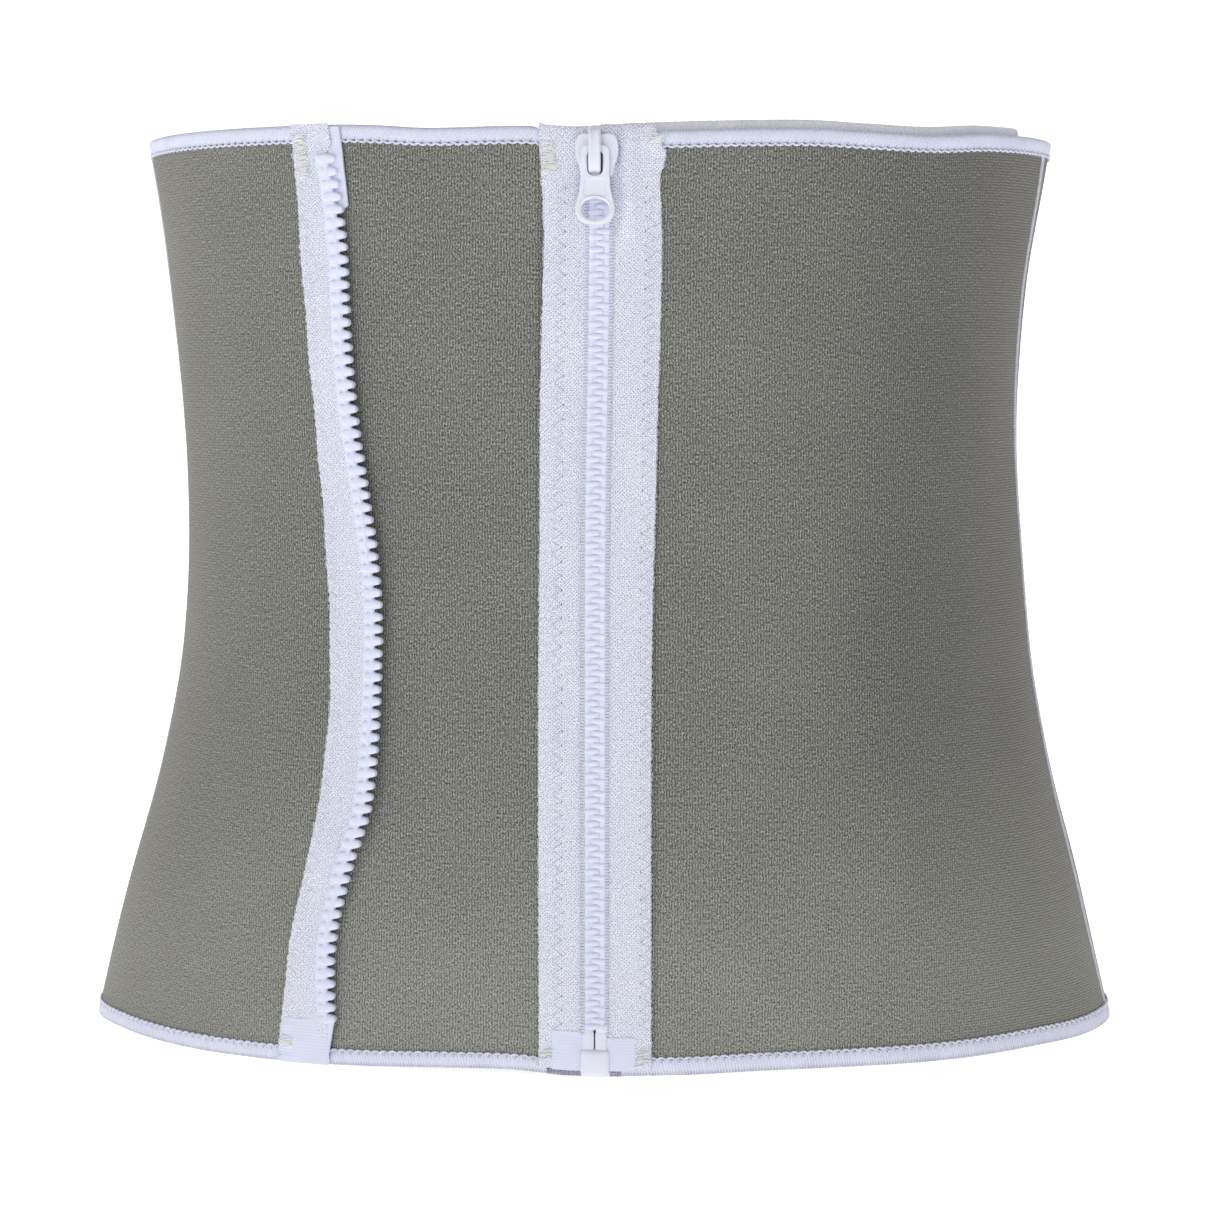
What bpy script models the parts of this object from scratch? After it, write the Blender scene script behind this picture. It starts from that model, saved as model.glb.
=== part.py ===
"""Lumbar support belt: a neoprene tube with a waist, closed in front by an open-end zip.

Units are metres, +Z is up, the zip faces -Y and +X is on the right of somebody who looks at the zip.
Every piece starts as a flat pattern and is then laid on the belt. A place on the belt is a girth
angle (0 at the zip, 90 degrees at the +X side, 180 at the back), a height, and an offset outwards
from the outer face of the neoprene.
"""
import math

import bmesh
import bpy
from mathutils import Matrix, Vector

MM = 0.001

# The belt
HALF_DEPTH = 91 * MM
BELT_Y = 3.45 * MM  # centres the whole object, because the slider stands out in front
ZIP_Y = BELT_Y - HALF_DEPTH  # the neoprene's outer face at the zip
HALF_WIDTHS = (  # height, half width of the outer face
    (0.0, 0.1678),
    (0.045, 0.157),
    (0.085, 0.1462),
    (0.125, 0.1387),
    (0.182, 0.1354),
    (0.235, 0.1389),
    (0.2835, 0.1465),
)
TOP_RISE = (  # girth angle in degrees, rise of the top rim above its nominal height
    (-180, 3.0 * MM),
    (-90, 4.3 * MM),
    (-60, 4.2 * MM),
    (-34, 3.7 * MM),
    (-27, 3.0 * MM),
    (-20, 1.8 * MM),
    (-8, 1.9 * MM),
    (-5.5, 0.5 * MM),
    (0, 0.0),
    (8, 0.6 * MM),
    (16, 1.3 * MM),
    (26, 1.9 * MM),
    (34, 1.4 * MM),
    (44, 1.2 * MM),
    (56, 2.8 * MM),
    (90, 3.5 * MM),
    (180, 3.0 * MM),
)
BOTTOM_RISE = (  # girth angle in degrees, rise of the bottom rim
    (-180, 0.0),
    (-86, 0.0),
    (-73, 0.8 * MM),
    (-60, 0.5 * MM),
    (-48, 0.0),
    (-34, 0.0),
    (-26, 0.6 * MM),
    (-15, 1.6 * MM),
    (-9, 1.6 * MM),
    (-4, 0.4 * MM),
    (0, 0.0),
    (4, 0.0),
    (9, 0.0),
    (18, 0.7 * MM),
    (40, 0.2 * MM),
    (54, 0.6 * MM),
    (66, 0.0),
    (180, 0.0),
)
LEAN = (  # height, how far both sides stand towards -X
    (0.0, 0.0),
    (0.03, 0.3 * MM),
    (0.06, 0.0),
    (0.11, -0.6 * MM),
    (0.15, -0.4 * MM),
    (0.18, 0.7 * MM),
    (0.20, 1.35 * MM),
    (0.235, 1.6 * MM),
    (0.265, 1.0 * MM),
    (0.2835, 1.2 * MM),
)
NEOPRENE = 4.0 * MM
GAP = 0.3 * MM  # between pieces that touch
PANEL_TOP = 280.5 * MM  # with its edging
EDGING = 4.8 * MM
EDGING_THICKNESS = 4.6 * MM
EDGING_ROUND = 1.2 * MM
SEAM_WIDTH = 3.0 * MM
SEAM = 0.6 * MM  # thickness
ZIP_OPENING = 7.5 * MM  # from the zip's centre line to the edge of a front panel
ZIP_EDGE = 0.6 * MM  # where an edging stops short of that edge

# The hinge line is the +X back seam: the belt opens there like a book
BACK_SEAM = 40 * MM
HINGE_Y = BELT_Y + 89.3 * MM  # just outside the neoprene, so that the outer faces fold clear

# The zip guard behind the right front panel
UNDERLAP_TOP = 283.3 * MM
UNDERLAP_BOTTOM = 1.2 * MM
UNDERLAP_START = -18 * MM
UNDERLAP_END = math.radians(66.5)
UNDERLAP_FACE = -5.0 * MM
UNDERLAP_THICKNESS = 3.0 * MM
UNDERLAP_BINDING = math.radians(2)
UNDERLAP_BINDING_PROUD = 0.2 * MM

# The zip
TAPE = 0.9 * MM
TAPE_FACE = GAP + TAPE
TAPE_INNER = 4.1 * MM
TAPE_OUTER = 18 * MM
TAPE_BOTTOM = 1.5 * MM
TAPE_TOP = 279 * MM
CHAIN = 3.75 * MM  # half width
CHANNEL = 0.5 * MM  # from the centre line to the tips, where the slider's web passes
SPINE = 1.4 * MM
TOOTH_PITCH = 3.6 * MM
TOOTH_HEIGHT = 1.5 * MM
TOOTH_THICKNESS = 2.4 * MM
TOOTH_FACE = TAPE_FACE - TAPE / 2 + TOOTH_THICKNESS / 2
TEETH_BOTTOM = 15 * MM
TEETH_COUNT = 72
BOX_HALF = 3.85 * MM
BOX_TOP = 8.6 * MM
PIN_TOP = 14.2 * MM
FILM_TOP = 13.3 * MM
FILM = 0.3 * MM
PIN_BOTTOM = 2.2 * MM
PIN_ROUND = 0.3 * MM
BOX_ROUND = 0.4 * MM

# The slider and its pull
SLIDER_TOP = 278 * MM
SLIDER_BOTTOM = 267 * MM
SHOULDER = 6.35 * MM
HEEL = 4.6 * MM
PLATE = 1.0 * MM
SLIDER_PLAY = 0.35 * MM
WEB = 0.2 * MM
BRIDGE_HALF = 1.9 * MM
BRIDGE_TOP = 279.5 * MM
BRIDGE_BOTTOM = 270.5 * MM
BRIDGE_BAR = 1.1 * MM
PULL_THICKNESS = 1.5 * MM
PULL_BAR = 1.2 * MM
PULL_AXIS_HEIGHT = 274.7 * MM
PULL_LENGTH = 22.4 * MM
PULL_NECK = 4.15 * MM
PULL_RING = 5.6 * MM
PULL_PLAY = 0.4 * MM

# The second row of teeth, sewn on the left front panel for a tighter fit
SPARE_EDGE = (  # height, distance from the zip of the edge away from it
    (0.0, -0.0985),
    (0.040, -0.0935),
    (0.075, -0.0858),
    (0.113, -0.0815),
    (0.165, -0.083),
    (0.220, -0.087),
    (0.2835, -0.0918),
)
SPARE_TIPS = (  # height, distance from the zip of the teeth's tips
    (0.0, -0.0787),
    (0.036, -0.0789),
    (0.059, -0.0740),
    (0.082, -0.0668),
    (0.120, -0.0640),
    (0.150, -0.0642),
    (0.200, -0.0708),
    (0.250, -0.0740),
    (0.2835, -0.0770),
)
SPARE_PIN_WIDTH = 2.2 * MM
SPARE_STAND_OFF = 0.9 * MM  # of the teeth at the belt's ends
SPARE_LIFT = 2.5 * MM  # and the further lift between the ends
SPARE_TEETH_BOTTOM = 14 * MM
SPARE_TEETH_COUNT = 67

# Inside the back panel
STAY_PLACES = (-24 * MM, -8 * MM, 8 * MM, 24 * MM)
STAY_END = 22 * MM  # from the stays' ends to the belt's edges
CASING_END = 4 * MM  # from the casings' ends to the stays' ends
STAY_WIDTH = 7 * MM
STAY_THICKNESS = 0.8 * MM
CASING_WIDTH = 14 * MM
CASING = 0.6 * MM

FINISHES = {  # linear colour, roughness, metallic
    "neoprene": ((0.205, 0.205, 0.180), 0.95, 0.0),
    "thread": ((0.66, 0.69, 0.84), 0.85, 0.0),
    "tape": ((0.68, 0.70, 0.86), 0.80, 0.0),
    "plastic": ((0.78, 0.80, 0.90), 0.35, 0.0),
    "film": ((0.70, 0.73, 0.88), 0.25, 0.0),
    "steel": ((0.60, 0.60, 0.60), 0.35, 1.0),
}


def smooth_through(points, at):
    """A smooth curve through points (place, value), read at one place."""
    places = [place for place, _ in points]
    values = [value for _, value in points]
    last = len(points) - 1

    def slope(i):
        low, high = max(i - 1, 0), min(i + 1, last)
        return (values[high] - values[low]) / (places[high] - places[low])

    i = 0
    while i < last - 1 and at > places[i + 1]:
        i += 1
    width = places[i + 1] - places[i]
    t = (at - places[i]) / width
    return (
        (2 * t**3 - 3 * t**2 + 1) * values[i]
        + (t**3 - 2 * t**2 + t) * width * slope(i)
        + (3 * t**2 - 2 * t**3) * values[i + 1]
        + (t**3 - t**2) * width * slope(i + 1)
    )


def half_width(height):
    return smooth_through(HALF_WIDTHS, height)


def rise(angle, height):
    """The belt's rims aren't level: how far a place stands above its nominal height."""
    degrees = (math.degrees(angle) + 180) % 360 - 180
    share = height / PANEL_TOP
    top = smooth_through(TOP_RISE, degrees)
    bottom = max(smooth_through(BOTTOM_RISE, degrees), 0)
    return top * share**3 + bottom * (1 - min(share, 1)) ** 3


def lean(angle, height):
    """How far a place stands towards -X: the sides lean, the zip and the back don't."""
    return smooth_through(LEAN, height) * math.sin(angle) ** 2


def on_belt(angle, height, offset):
    """The point at a girth angle and height, offset outwards from the neoprene's outer face."""
    width = half_width(height)
    outwards = Vector((math.sin(angle) / width, -math.cos(angle) / HALF_DEPTH, 0)).normalized()
    x = width * math.sin(angle) - lean(angle, height)
    y = BELT_Y - HALF_DEPTH * math.cos(angle)
    return Vector((x, y, height + rise(angle, height))) + outwards * offset


def front_angle(x, height):
    return math.asin(x / half_width(height))


def back_angle(x, height):
    """The girth angle of a place on the back, counted the +X way round."""
    return math.pi - front_angle(x, height)


def right_side(height):
    """The side seams lean a little to the front near the top."""
    return math.radians(81 - 6 * (height / PANEL_TOP) ** 3)


def left_side(height):
    return -math.radians(89 - 5 * (height / PANEL_TOP) ** 3)


def collection_named(name):
    collection = bpy.data.collections.new(name)
    bpy.context.scene.collection.children.link(collection)
    return collection


def clear_scene():
    for obj in list(bpy.data.objects):
        bpy.data.objects.remove(obj, do_unlink=True)
    for collection in list(bpy.data.collections):
        bpy.data.collections.remove(collection)


def finished(obj, finish):
    """Gives the object a material of its own and puts it with the belt's parts."""
    colour, roughness, metallic = FINISHES[finish]
    material = bpy.data.materials.new(obj.name)
    material.use_nodes = True
    shader = material.node_tree.nodes["Principled BSDF"]
    shader.inputs["Base Color"].default_value = (*colour, 1)
    shader.inputs["Roughness"].default_value = roughness
    shader.inputs["Metallic"].default_value = metallic
    obj.data.materials.clear()
    obj.data.materials.append(material)
    for collection in list(obj.users_collection):
        collection.objects.unlink(obj)
    parts.objects.link(obj)
    return obj


def flat_sheet(columns, rows):
    """A flat pattern 1 wide, 1 high and 1 thick, whose outer face is at 0 and inner face at -1."""
    bm = bmesh.new()
    bmesh.ops.create_grid(bm, x_segments=columns, y_segments=rows, size=0.5)
    return bm


def thicken(bm):
    grown = bmesh.ops.extrude_face_region(bm, geom=bm.faces[:], use_keep_orig=True)
    inner = [item for item in grown["geom"] if isinstance(item, bmesh.types.BMVert)]
    bmesh.ops.translate(bm, verts=inner, vec=(0, 0, -1))


def laid(name, finish, bm):
    """Closes a pattern that has been laid on the belt and makes it an object."""
    bmesh.ops.recalc_face_normals(bm, faces=bm.faces)
    if bm.calc_volume(signed=True) < 0:
        bmesh.ops.reverse_faces(bm, faces=bm.faces)
    mesh = bpy.data.meshes.new(name)
    bm.to_mesh(mesh)
    bm.free()
    return finished(bpy.data.objects.new(name, mesh), finish)


def round_edges(obj, width, segments=2):
    modifier = obj.modifiers.new("round", "BEVEL")
    modifier.width = width
    modifier.segments = segments
    modifier.limit_method = "ANGLE"
    modifier.angle_limit = math.radians(50)


def sheet(name, finish, span, low, high, face, thickness, columns, rows):
    """A sheet on the belt between two heights.

    span(height) gives the two girth angles it lies between and face(share, height) its outer offset,
    with share from 0 to 1 along that span.
    """
    bm = flat_sheet(columns, rows)
    thicken(bm)
    for vert in bm.verts:
        share = vert.co.x + 0.5
        height = low + (high - low) * (vert.co.y + 0.5)
        offset = face(share, height) + vert.co.z * thickness
        start, end = span(height)
        vert.co = on_belt(start + (end - start) * share, height, offset)
    return laid(name, finish, bm)


def level(offset):
    """A face that stays at one offset."""
    return lambda share, height: offset


def from_front(x0, x1):
    """A span between two distances from the zip."""
    return lambda height: (front_angle(x0, height), front_angle(x1, height))


def comb(name, finish, edge, towards, bottom, count, length, face, thickness):
    """A row of teeth on a spine: edge(height) is the tips' distance from the zip.

    towards is 1 where the tips point to +X, and a tooth's length includes the spine.
    """
    rows = 2 * count - 1
    bm = flat_sheet(2, rows)
    gaps = []
    for cell in bm.faces:
        centre = cell.calc_center_median()
        row = int((centre.y + 0.5) * rows)
        if row % 2 and centre.x * towards > 0:
            gaps.append(cell)
    bmesh.ops.delete(bm, geom=gaps, context="FACES")
    thicken(bm)
    across = (-length, SPINE - length, 0) if towards > 0 else (0, length - SPINE, length)
    for vert in bm.verts:
        line = round((vert.co.y + 0.5) * rows)
        height = bottom + (line // 2) * TOOTH_PITCH + (line % 2) * TOOTH_HEIGHT
        x = edge(height) + across[round((vert.co.x + 0.5) * 2)]
        vert.co = on_belt(front_angle(x, height), height, face(height) + vert.co.z * thickness)
    return laid(name, finish, bm)


def front_block(name, x, height, offset, collection=None):
    """A box at the zip, from its ranges across, in height and outwards."""
    bpy.ops.mesh.primitive_cube_add(size=1)
    obj = bpy.context.object
    obj.name = obj.data.name = name
    size = Vector((x[1] - x[0], offset[1] - offset[0], height[1] - height[0]))
    centre = Vector((sum(x), 2 * ZIP_Y - sum(offset), sum(height))) / 2
    obj.data.transform(Matrix.Diagonal((*size, 1)))
    obj.location = centre
    if collection:
        for old in list(obj.users_collection):
            old.objects.unlink(obj)
        collection.objects.link(obj)
        obj.display_type = "WIRE"
        obj.hide_render = True
    return obj


def outline_mesh(name, rings, half_thickness):
    """A flat outline in X and Z, with holes, thickened along Y, as a mesh at the world's origin."""
    curve = bpy.data.curves.new(name, "CURVE")
    curve.dimensions = "2D"
    curve.fill_mode = "BOTH"
    curve.extrude = half_thickness
    for ring in rings:
        spline = curve.splines.new("POLY")
        spline.points.add(len(ring) - 1)
        spline.use_cyclic_u = True
        for point, (x, z) in zip(spline.points, ring):
            point.co = (x, z, 0, 1)
    source = bpy.data.objects.new(name + "_outline", curve)
    parts.objects.link(source)
    evaluated = source.evaluated_get(bpy.context.evaluated_depsgraph_get())
    mesh = bpy.data.meshes.new_from_object(evaluated)
    bpy.data.objects.remove(source)
    bpy.data.curves.remove(curve)
    bm = bmesh.new()
    bm.from_mesh(mesh)
    bmesh.ops.remove_doubles(bm, verts=bm.verts, dist=0.01 * MM)
    bmesh.ops.rotate(bm, verts=bm.verts, matrix=Matrix.Rotation(math.pi / 2, 3, "X"))
    bm.to_mesh(mesh)
    bm.free()
    mesh.name = name
    return bpy.data.objects.new(name, mesh)


def boolean(obj, other, operation):
    modifier = obj.modifiers.new(other.name, "BOOLEAN")
    modifier.operation = operation
    modifier.object = other
    modifier.solver = "EXACT"


def arc(centre, radii, start, end, steps):
    """Points on an elliptical arc, from one angle to another in degrees."""
    for i in range(steps + 1):
        angle = math.radians(start + (end - start) * i / steps)
        yield centre[0] + radii[0] * math.cos(angle), centre[1] + radii[1] * math.sin(angle)


def make_panels():
    low, high = EDGING + GAP, PANEL_TOP - EDGING - GAP
    half_gap = GAP / 2 / HALF_DEPTH

    def panel(name, start, end, columns):
        def span(height):
            return start(height), end(height)

        sheet(name, "neoprene", span, low, high, level(0), NEOPRENE, columns, 12)

    panel(
        "left_front_panel",
        lambda z: left_side(z) + half_gap,
        lambda z: front_angle(-ZIP_OPENING, z),
        18,
    )
    panel(
        "right_front_panel",
        lambda z: front_angle(ZIP_OPENING, z),
        lambda z: right_side(z) - half_gap,
        18,
    )
    panel(
        "left_back_panel",
        lambda z: back_angle(-BACK_SEAM - GAP / 2, z) - 2 * math.pi,
        lambda z: left_side(z) - half_gap,
        14,
    )
    panel(
        "right_back_panel",
        lambda z: right_side(z) + half_gap,
        lambda z: back_angle(BACK_SEAM + GAP / 2, z),
        14,
    )
    panel(
        "back_panel",
        lambda z: back_angle(BACK_SEAM - GAP / 2, z),
        lambda z: back_angle(-BACK_SEAM + GAP / 2, z),
        8,
    )


def make_edgings():
    """The overlocked edges: one bead along the top and one along the bottom of each half."""

    def left(height):
        start = back_angle(BACK_SEAM - GAP / 2, height) - 2 * math.pi
        return start, front_angle(-ZIP_EDGE - ZIP_OPENING, height)

    def right(height):
        return front_angle(ZIP_EDGE + ZIP_OPENING, height), back_angle(BACK_SEAM + GAP / 2, height)

    for side, span, columns in (("left", left, 40), ("right", right, 32)):
        for end, low, high in (("bottom", 0, EDGING), ("top", PANEL_TOP - EDGING, PANEL_TOP)):
            name = f"{side}_{end}_edging"
            edging = sheet(name, "thread", span, low, high, level(0), EDGING_THICKNESS, columns, 1)
            round_edges(edging, EDGING_ROUND)


def make_seams():
    """Flat seam tapes over the joins between panels."""
    low, high = EDGING + 3 * GAP, PANEL_TOP - EDGING - 3 * GAP
    half = SEAM_WIDTH / 2 / HALF_DEPTH
    inner = BACK_SEAM - SEAM_WIDTH - 2 * GAP

    def seam(name, span):
        sheet(name, "thread", span, low, high, level(GAP + SEAM), SEAM, 1, 12)

    seam("right_side_seam", lambda z: (right_side(z) - half, right_side(z) + half))
    seam("left_side_seam", lambda z: (left_side(z) - half, left_side(z) + half))
    seam(
        "right_back_seam",
        lambda z: (back_angle(BACK_SEAM - GAP, z), back_angle(inner, z)),
    )
    seam(
        "left_back_seam",
        lambda z: (back_angle(-inner, z), back_angle(GAP - BACK_SEAM, z)),
    )


def make_underlap():
    """The zip guard, and its bound top and end. It is sewn behind the left front panel."""
    top = UNDERLAP_TOP - EDGING

    def body(height):
        return front_angle(UNDERLAP_START, height), UNDERLAP_END

    def end(height):
        start = UNDERLAP_END + GAP / half_width(height)
        return start, UNDERLAP_END + UNDERLAP_BINDING

    face = level(UNDERLAP_FACE)
    bound_face = level(UNDERLAP_FACE + UNDERLAP_BINDING_PROUD)
    corner = UNDERLAP_TOP - 2 * MM
    pieces = (
        ("underlap", "neoprene", body, UNDERLAP_BOTTOM, top - GAP, face, 14, 12),
        ("underlap_top_edging", "thread", body, top, UNDERLAP_TOP, bound_face, 14, 1),
        ("underlap_end_edging", "thread", end, UNDERLAP_BOTTOM, corner, bound_face, 1, 12),
    )
    for name, finish, span, low, high, out, columns, rows in pieces:
        sheet(name, finish, span, low, high, out, UNDERLAP_THICKNESS, columns, rows)


def make_centre_zip():
    tip_length = CHAIN - CHANNEL
    pin_back = TOOTH_FACE - TOOTH_THICKNESS
    for side, sign in (("left", -1), ("right", 1)):
        near, far = sorted((sign * TAPE_INNER, sign * TAPE_OUTER))
        sheet(
            f"{side}_tape", "tape", from_front(near, far), TAPE_BOTTOM, TAPE_TOP, level(TAPE_FACE), TAPE,
            3, 4,
        )
        sheet(
            f"{side}_film", "film", from_front(near, far), TAPE_BOTTOM, FILM_TOP,
            level(TAPE_FACE + GAP + FILM), FILM, 3, 1,
        )
        comb(
            f"{side}_teeth", "plastic", lambda height, tips=sign * CHANNEL: tips, -sign,
            TEETH_BOTTOM + (TOOTH_PITCH / 2 if sign > 0 else 0), TEETH_COUNT, tip_length,
            lambda height: TOOTH_FACE, TOOTH_THICKNESS,
        )

    pin = (CHANNEL, CHAIN - 0.6 * MM)
    insertion = front_block(
        "insertion_pin", (-pin[1], -pin[0]), (PIN_BOTTOM, PIN_TOP), (pin_back, TOOTH_FACE)
    )
    round_edges(finished(insertion, "plastic"), PIN_ROUND)
    retainer = front_block("retainer_pin", pin, (BOX_TOP + GAP, PIN_TOP), (pin_back, TOOTH_FACE))
    round_edges(finished(retainer, "plastic"), PIN_ROUND)

    box = finished(
        front_block("retainer_box", (-BOX_HALF, BOX_HALF), (0.8 * MM, BOX_TOP), (-1.6 * MM, 3.0 * MM)),
        "plastic",
    )
    pocket = front_block(
        "retainer_box_pocket",
        (-pin[1] - GAP, -pin[0] + GAP),
        (PIN_BOTTOM - GAP, BOX_TOP + 1 * MM),
        (pin_back - GAP, TOOTH_FACE + GAP),
        cutters,
    )
    boolean(box, pocket, "DIFFERENCE")
    round_edges(box, BOX_ROUND)


def make_slider():
    """The slider runs on the rows of teeth: two plates joined by a web, with a bridge for the pull."""
    inner_front = TOOTH_FACE + SLIDER_PLAY
    inner_back = TOOTH_FACE - TOOTH_THICKNESS - SLIDER_PLAY
    front, back = inner_front + PLATE, inner_back - PLATE
    shield = [
        (-SHOULDER, SLIDER_TOP - 4 * MM),
        (-SHOULDER + 0.4 * MM, SLIDER_TOP - 1.2 * MM),
        (-SHOULDER + 2 * MM, SLIDER_TOP),
        (SHOULDER - 2 * MM, SLIDER_TOP),
        (SHOULDER - 0.4 * MM, SLIDER_TOP - 1.2 * MM),
        (SHOULDER, SLIDER_TOP - 4 * MM),
        (HEEL, SLIDER_BOTTOM + 1.5 * MM),
        (HEEL - 0.6 * MM, SLIDER_BOTTOM),
        (0.6 * MM - HEEL, SLIDER_BOTTOM),
        (-HEEL, SLIDER_BOTTOM + 1.5 * MM),
    ]
    body = outline_mesh("slider_body", [shield], (front - back) / 2)
    body.location.y = ZIP_Y - (front + back) / 2
    finished(body, "plastic")

    tall = (SLIDER_BOTTOM - 5 * MM, SLIDER_TOP + 5 * MM)
    for side, sign in (("left", -1), ("right", 1)):
        lane = sorted((sign * WEB, sign * (CHAIN + SLIDER_PLAY)))
        boolean(
            body,
            front_block(f"slider_{side}_lane", lane, tall, (inner_back, inner_front), cutters),
            "DIFFERENCE",
        )
        slot = sorted((sign * 2 * MM, sign * 2 * SHOULDER))
        tape_room = (GAP - SLIDER_PLAY, TAPE_FACE + SLIDER_PLAY)
        boolean(
            body,
            front_block(f"slider_{side}_slot", slot, tall, tape_room, cutters),
            "DIFFERENCE",
        )

    bar = PULL_BAR / 2
    swing = math.hypot(bar, PULL_THICKNESS / 2)
    axis = front + swing + GAP
    crest = axis + swing + GAP
    middle = (BRIDGE_TOP + BRIDGE_BOTTOM) / 2
    reach = (BRIDGE_TOP - BRIDGE_BOTTOM) / 2
    root = front - 0.5 * MM
    arch = (
        [(root, middle - reach)]
        + list(arc((crest - 2 * MM, middle), (2 * MM + BRIDGE_BAR, reach), -90, 90, 10))
        + [(root, middle + reach), (root, middle + reach - BRIDGE_BAR)]
        + list(arc((crest - 2 * MM, middle), (2 * MM, reach - BRIDGE_BAR), 90, -90, 10))
        + [(root, middle - reach + BRIDGE_BAR)]
    )
    bridge = outline_mesh("slider_bridge", [arch], BRIDGE_HALF)
    bridge.data.transform(Matrix.Rotation(-math.pi / 2, 4, "Z"))
    bridge.location.y = ZIP_Y
    cutters.objects.link(bridge)
    bridge.display_type = "WIRE"
    bridge.hide_render = True
    boolean(body, bridge, "UNION")
    return axis


def make_pull(axis):
    """The pull tab's origin is on its hinge axis, inside the bridge."""
    top = PULL_BAR / 2
    ring = (0, top - PULL_LENGTH + 5 * MM)
    outline = (
        [(PULL_NECK - 0.8 * MM, top), (PULL_NECK, top - 0.8 * MM), (PULL_NECK, ring[1] + 5 * MM)]
        + list(arc(ring, (PULL_RING, 5 * MM), 30, -210, 20))
        + [(-PULL_NECK, ring[1] + 5 * MM), (-PULL_NECK, top - 0.8 * MM), (0.8 * MM - PULL_NECK, top)]
    )
    slot_half = BRIDGE_HALF + PULL_PLAY
    slot = [(-slot_half, -top), (slot_half, -top), (slot_half, -7.7 * MM), (-slot_half, -7.7 * MM)]
    finger = list(arc(ring, (3.9 * MM, 2.9 * MM), 0, 345, 23))
    pull = finished(outline_mesh("pull_tab", [outline, slot, finger], PULL_THICKNESS / 2), "plastic")
    pull.location = (0, ZIP_Y - axis, PULL_AXIS_HEIGHT)


def make_spare_zip():
    """A row of teeth with no partner. Its tape is sewn along its far side and stands off at its teeth."""
    length = CHAIN - CHANNEL

    def tips(height):
        return smooth_through(SPARE_TIPS, height)

    def lift(height):
        return SPARE_STAND_OFF + SPARE_LIFT * math.sin(math.pi * min(max(height / PANEL_TOP, 0), 1))

    def face(share, height):
        free = max(share - 0.5, 0) / 0.5
        return TAPE_FACE + lift(height) * free**2

    def span(height):
        end = tips(height) - length - GAP
        return front_angle(smooth_through(SPARE_EDGE, height), height), front_angle(end, height)

    sheet("spare_tape", "tape", span, TAPE_BOTTOM, TAPE_TOP, face, TAPE, 6, 24)
    sheet(
        "spare_film", "film", span, TAPE_BOTTOM, FILM_TOP,
        lambda share, height: face(share, height) + GAP + FILM, FILM, 6, 1,
    )
    comb(
        "spare_teeth", "plastic", tips, 1, SPARE_TEETH_BOTTOM, SPARE_TEETH_COUNT, length,
        lambda height: TOOTH_FACE + lift(height), TOOTH_THICKNESS,
    )

    def pin(height):
        start = tips(height) - length
        return front_angle(start, height), front_angle(start + SPARE_PIN_WIDTH, height)

    sheet(
        "spare_pin", "plastic", pin, TAPE_BOTTOM, SPARE_TEETH_BOTTOM - GAP,
        lambda share, height: TOOTH_FACE + lift(height), TOOTH_THICKNESS, 1, 2,
    )


def make_stays():
    """Springy stays that stiffen the back panel, each under a casing that is open at both ends."""
    low, high = STAY_END, PANEL_TOP - STAY_END
    inside = -NEOPRENE - GAP

    for number, place in enumerate(STAY_PLACES, 1):

        def strip(width, place=place):
            return lambda height: (
                back_angle(place + width / 2, height),
                back_angle(place - width / 2, height),
            )

        def hat(share, height):
            raised = abs(share - 0.5) * CASING_WIDTH < STAY_WIDTH / 2 + 2 * GAP
            return inside - (STAY_THICKNESS + 2 * GAP if raised else 0)

        sheet(f"stay_{number}", "steel", strip(STAY_WIDTH), low, high, level(inside), STAY_THICKNESS, 1, 10)
        sheet(
            f"stay_casing_{number}", "neoprene", strip(CASING_WIDTH), low + CASING_END, high - CASING_END,
            hat, CASING, 8, 10,
        )


def axis_at(name, place):
    empty = bpy.data.objects.new(name, None)
    empty.location = place
    parts.objects.link(empty)
    return empty


def hang(obj, carrier):
    """Parents a piece or an axis to what moves it, and leaves it where it stands."""
    bpy.context.view_layer.update()
    obj.parent = carrier
    obj.matrix_parent_inverse = carrier.matrix_world.inverted()


def hang_moving_pieces():
    half = axis_at("right_half_axis", (BACK_SEAM, HINGE_Y, 0))
    run = axis_at("slider_run", (0, ZIP_Y, SLIDER_BOTTOM))
    for obj in list(parts.objects):
        if obj.name.startswith(("right_", "retainer_")) and obj.name not in ("right_back_seam", half.name):
            hang(obj, half)
    hang(run, half)
    hang(bpy.data.objects["slider_body"], run)
    hang(bpy.data.objects["pull_tab"], run)


clear_scene()
parts = collection_named("lumbar_support_belt")
cutters = collection_named("cutters")
make_panels()
make_edgings()
make_seams()
make_underlap()
make_centre_zip()
make_pull(make_slider())
make_spare_zip()
make_stays()
hang_moving_pieces()
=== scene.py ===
import math

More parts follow.
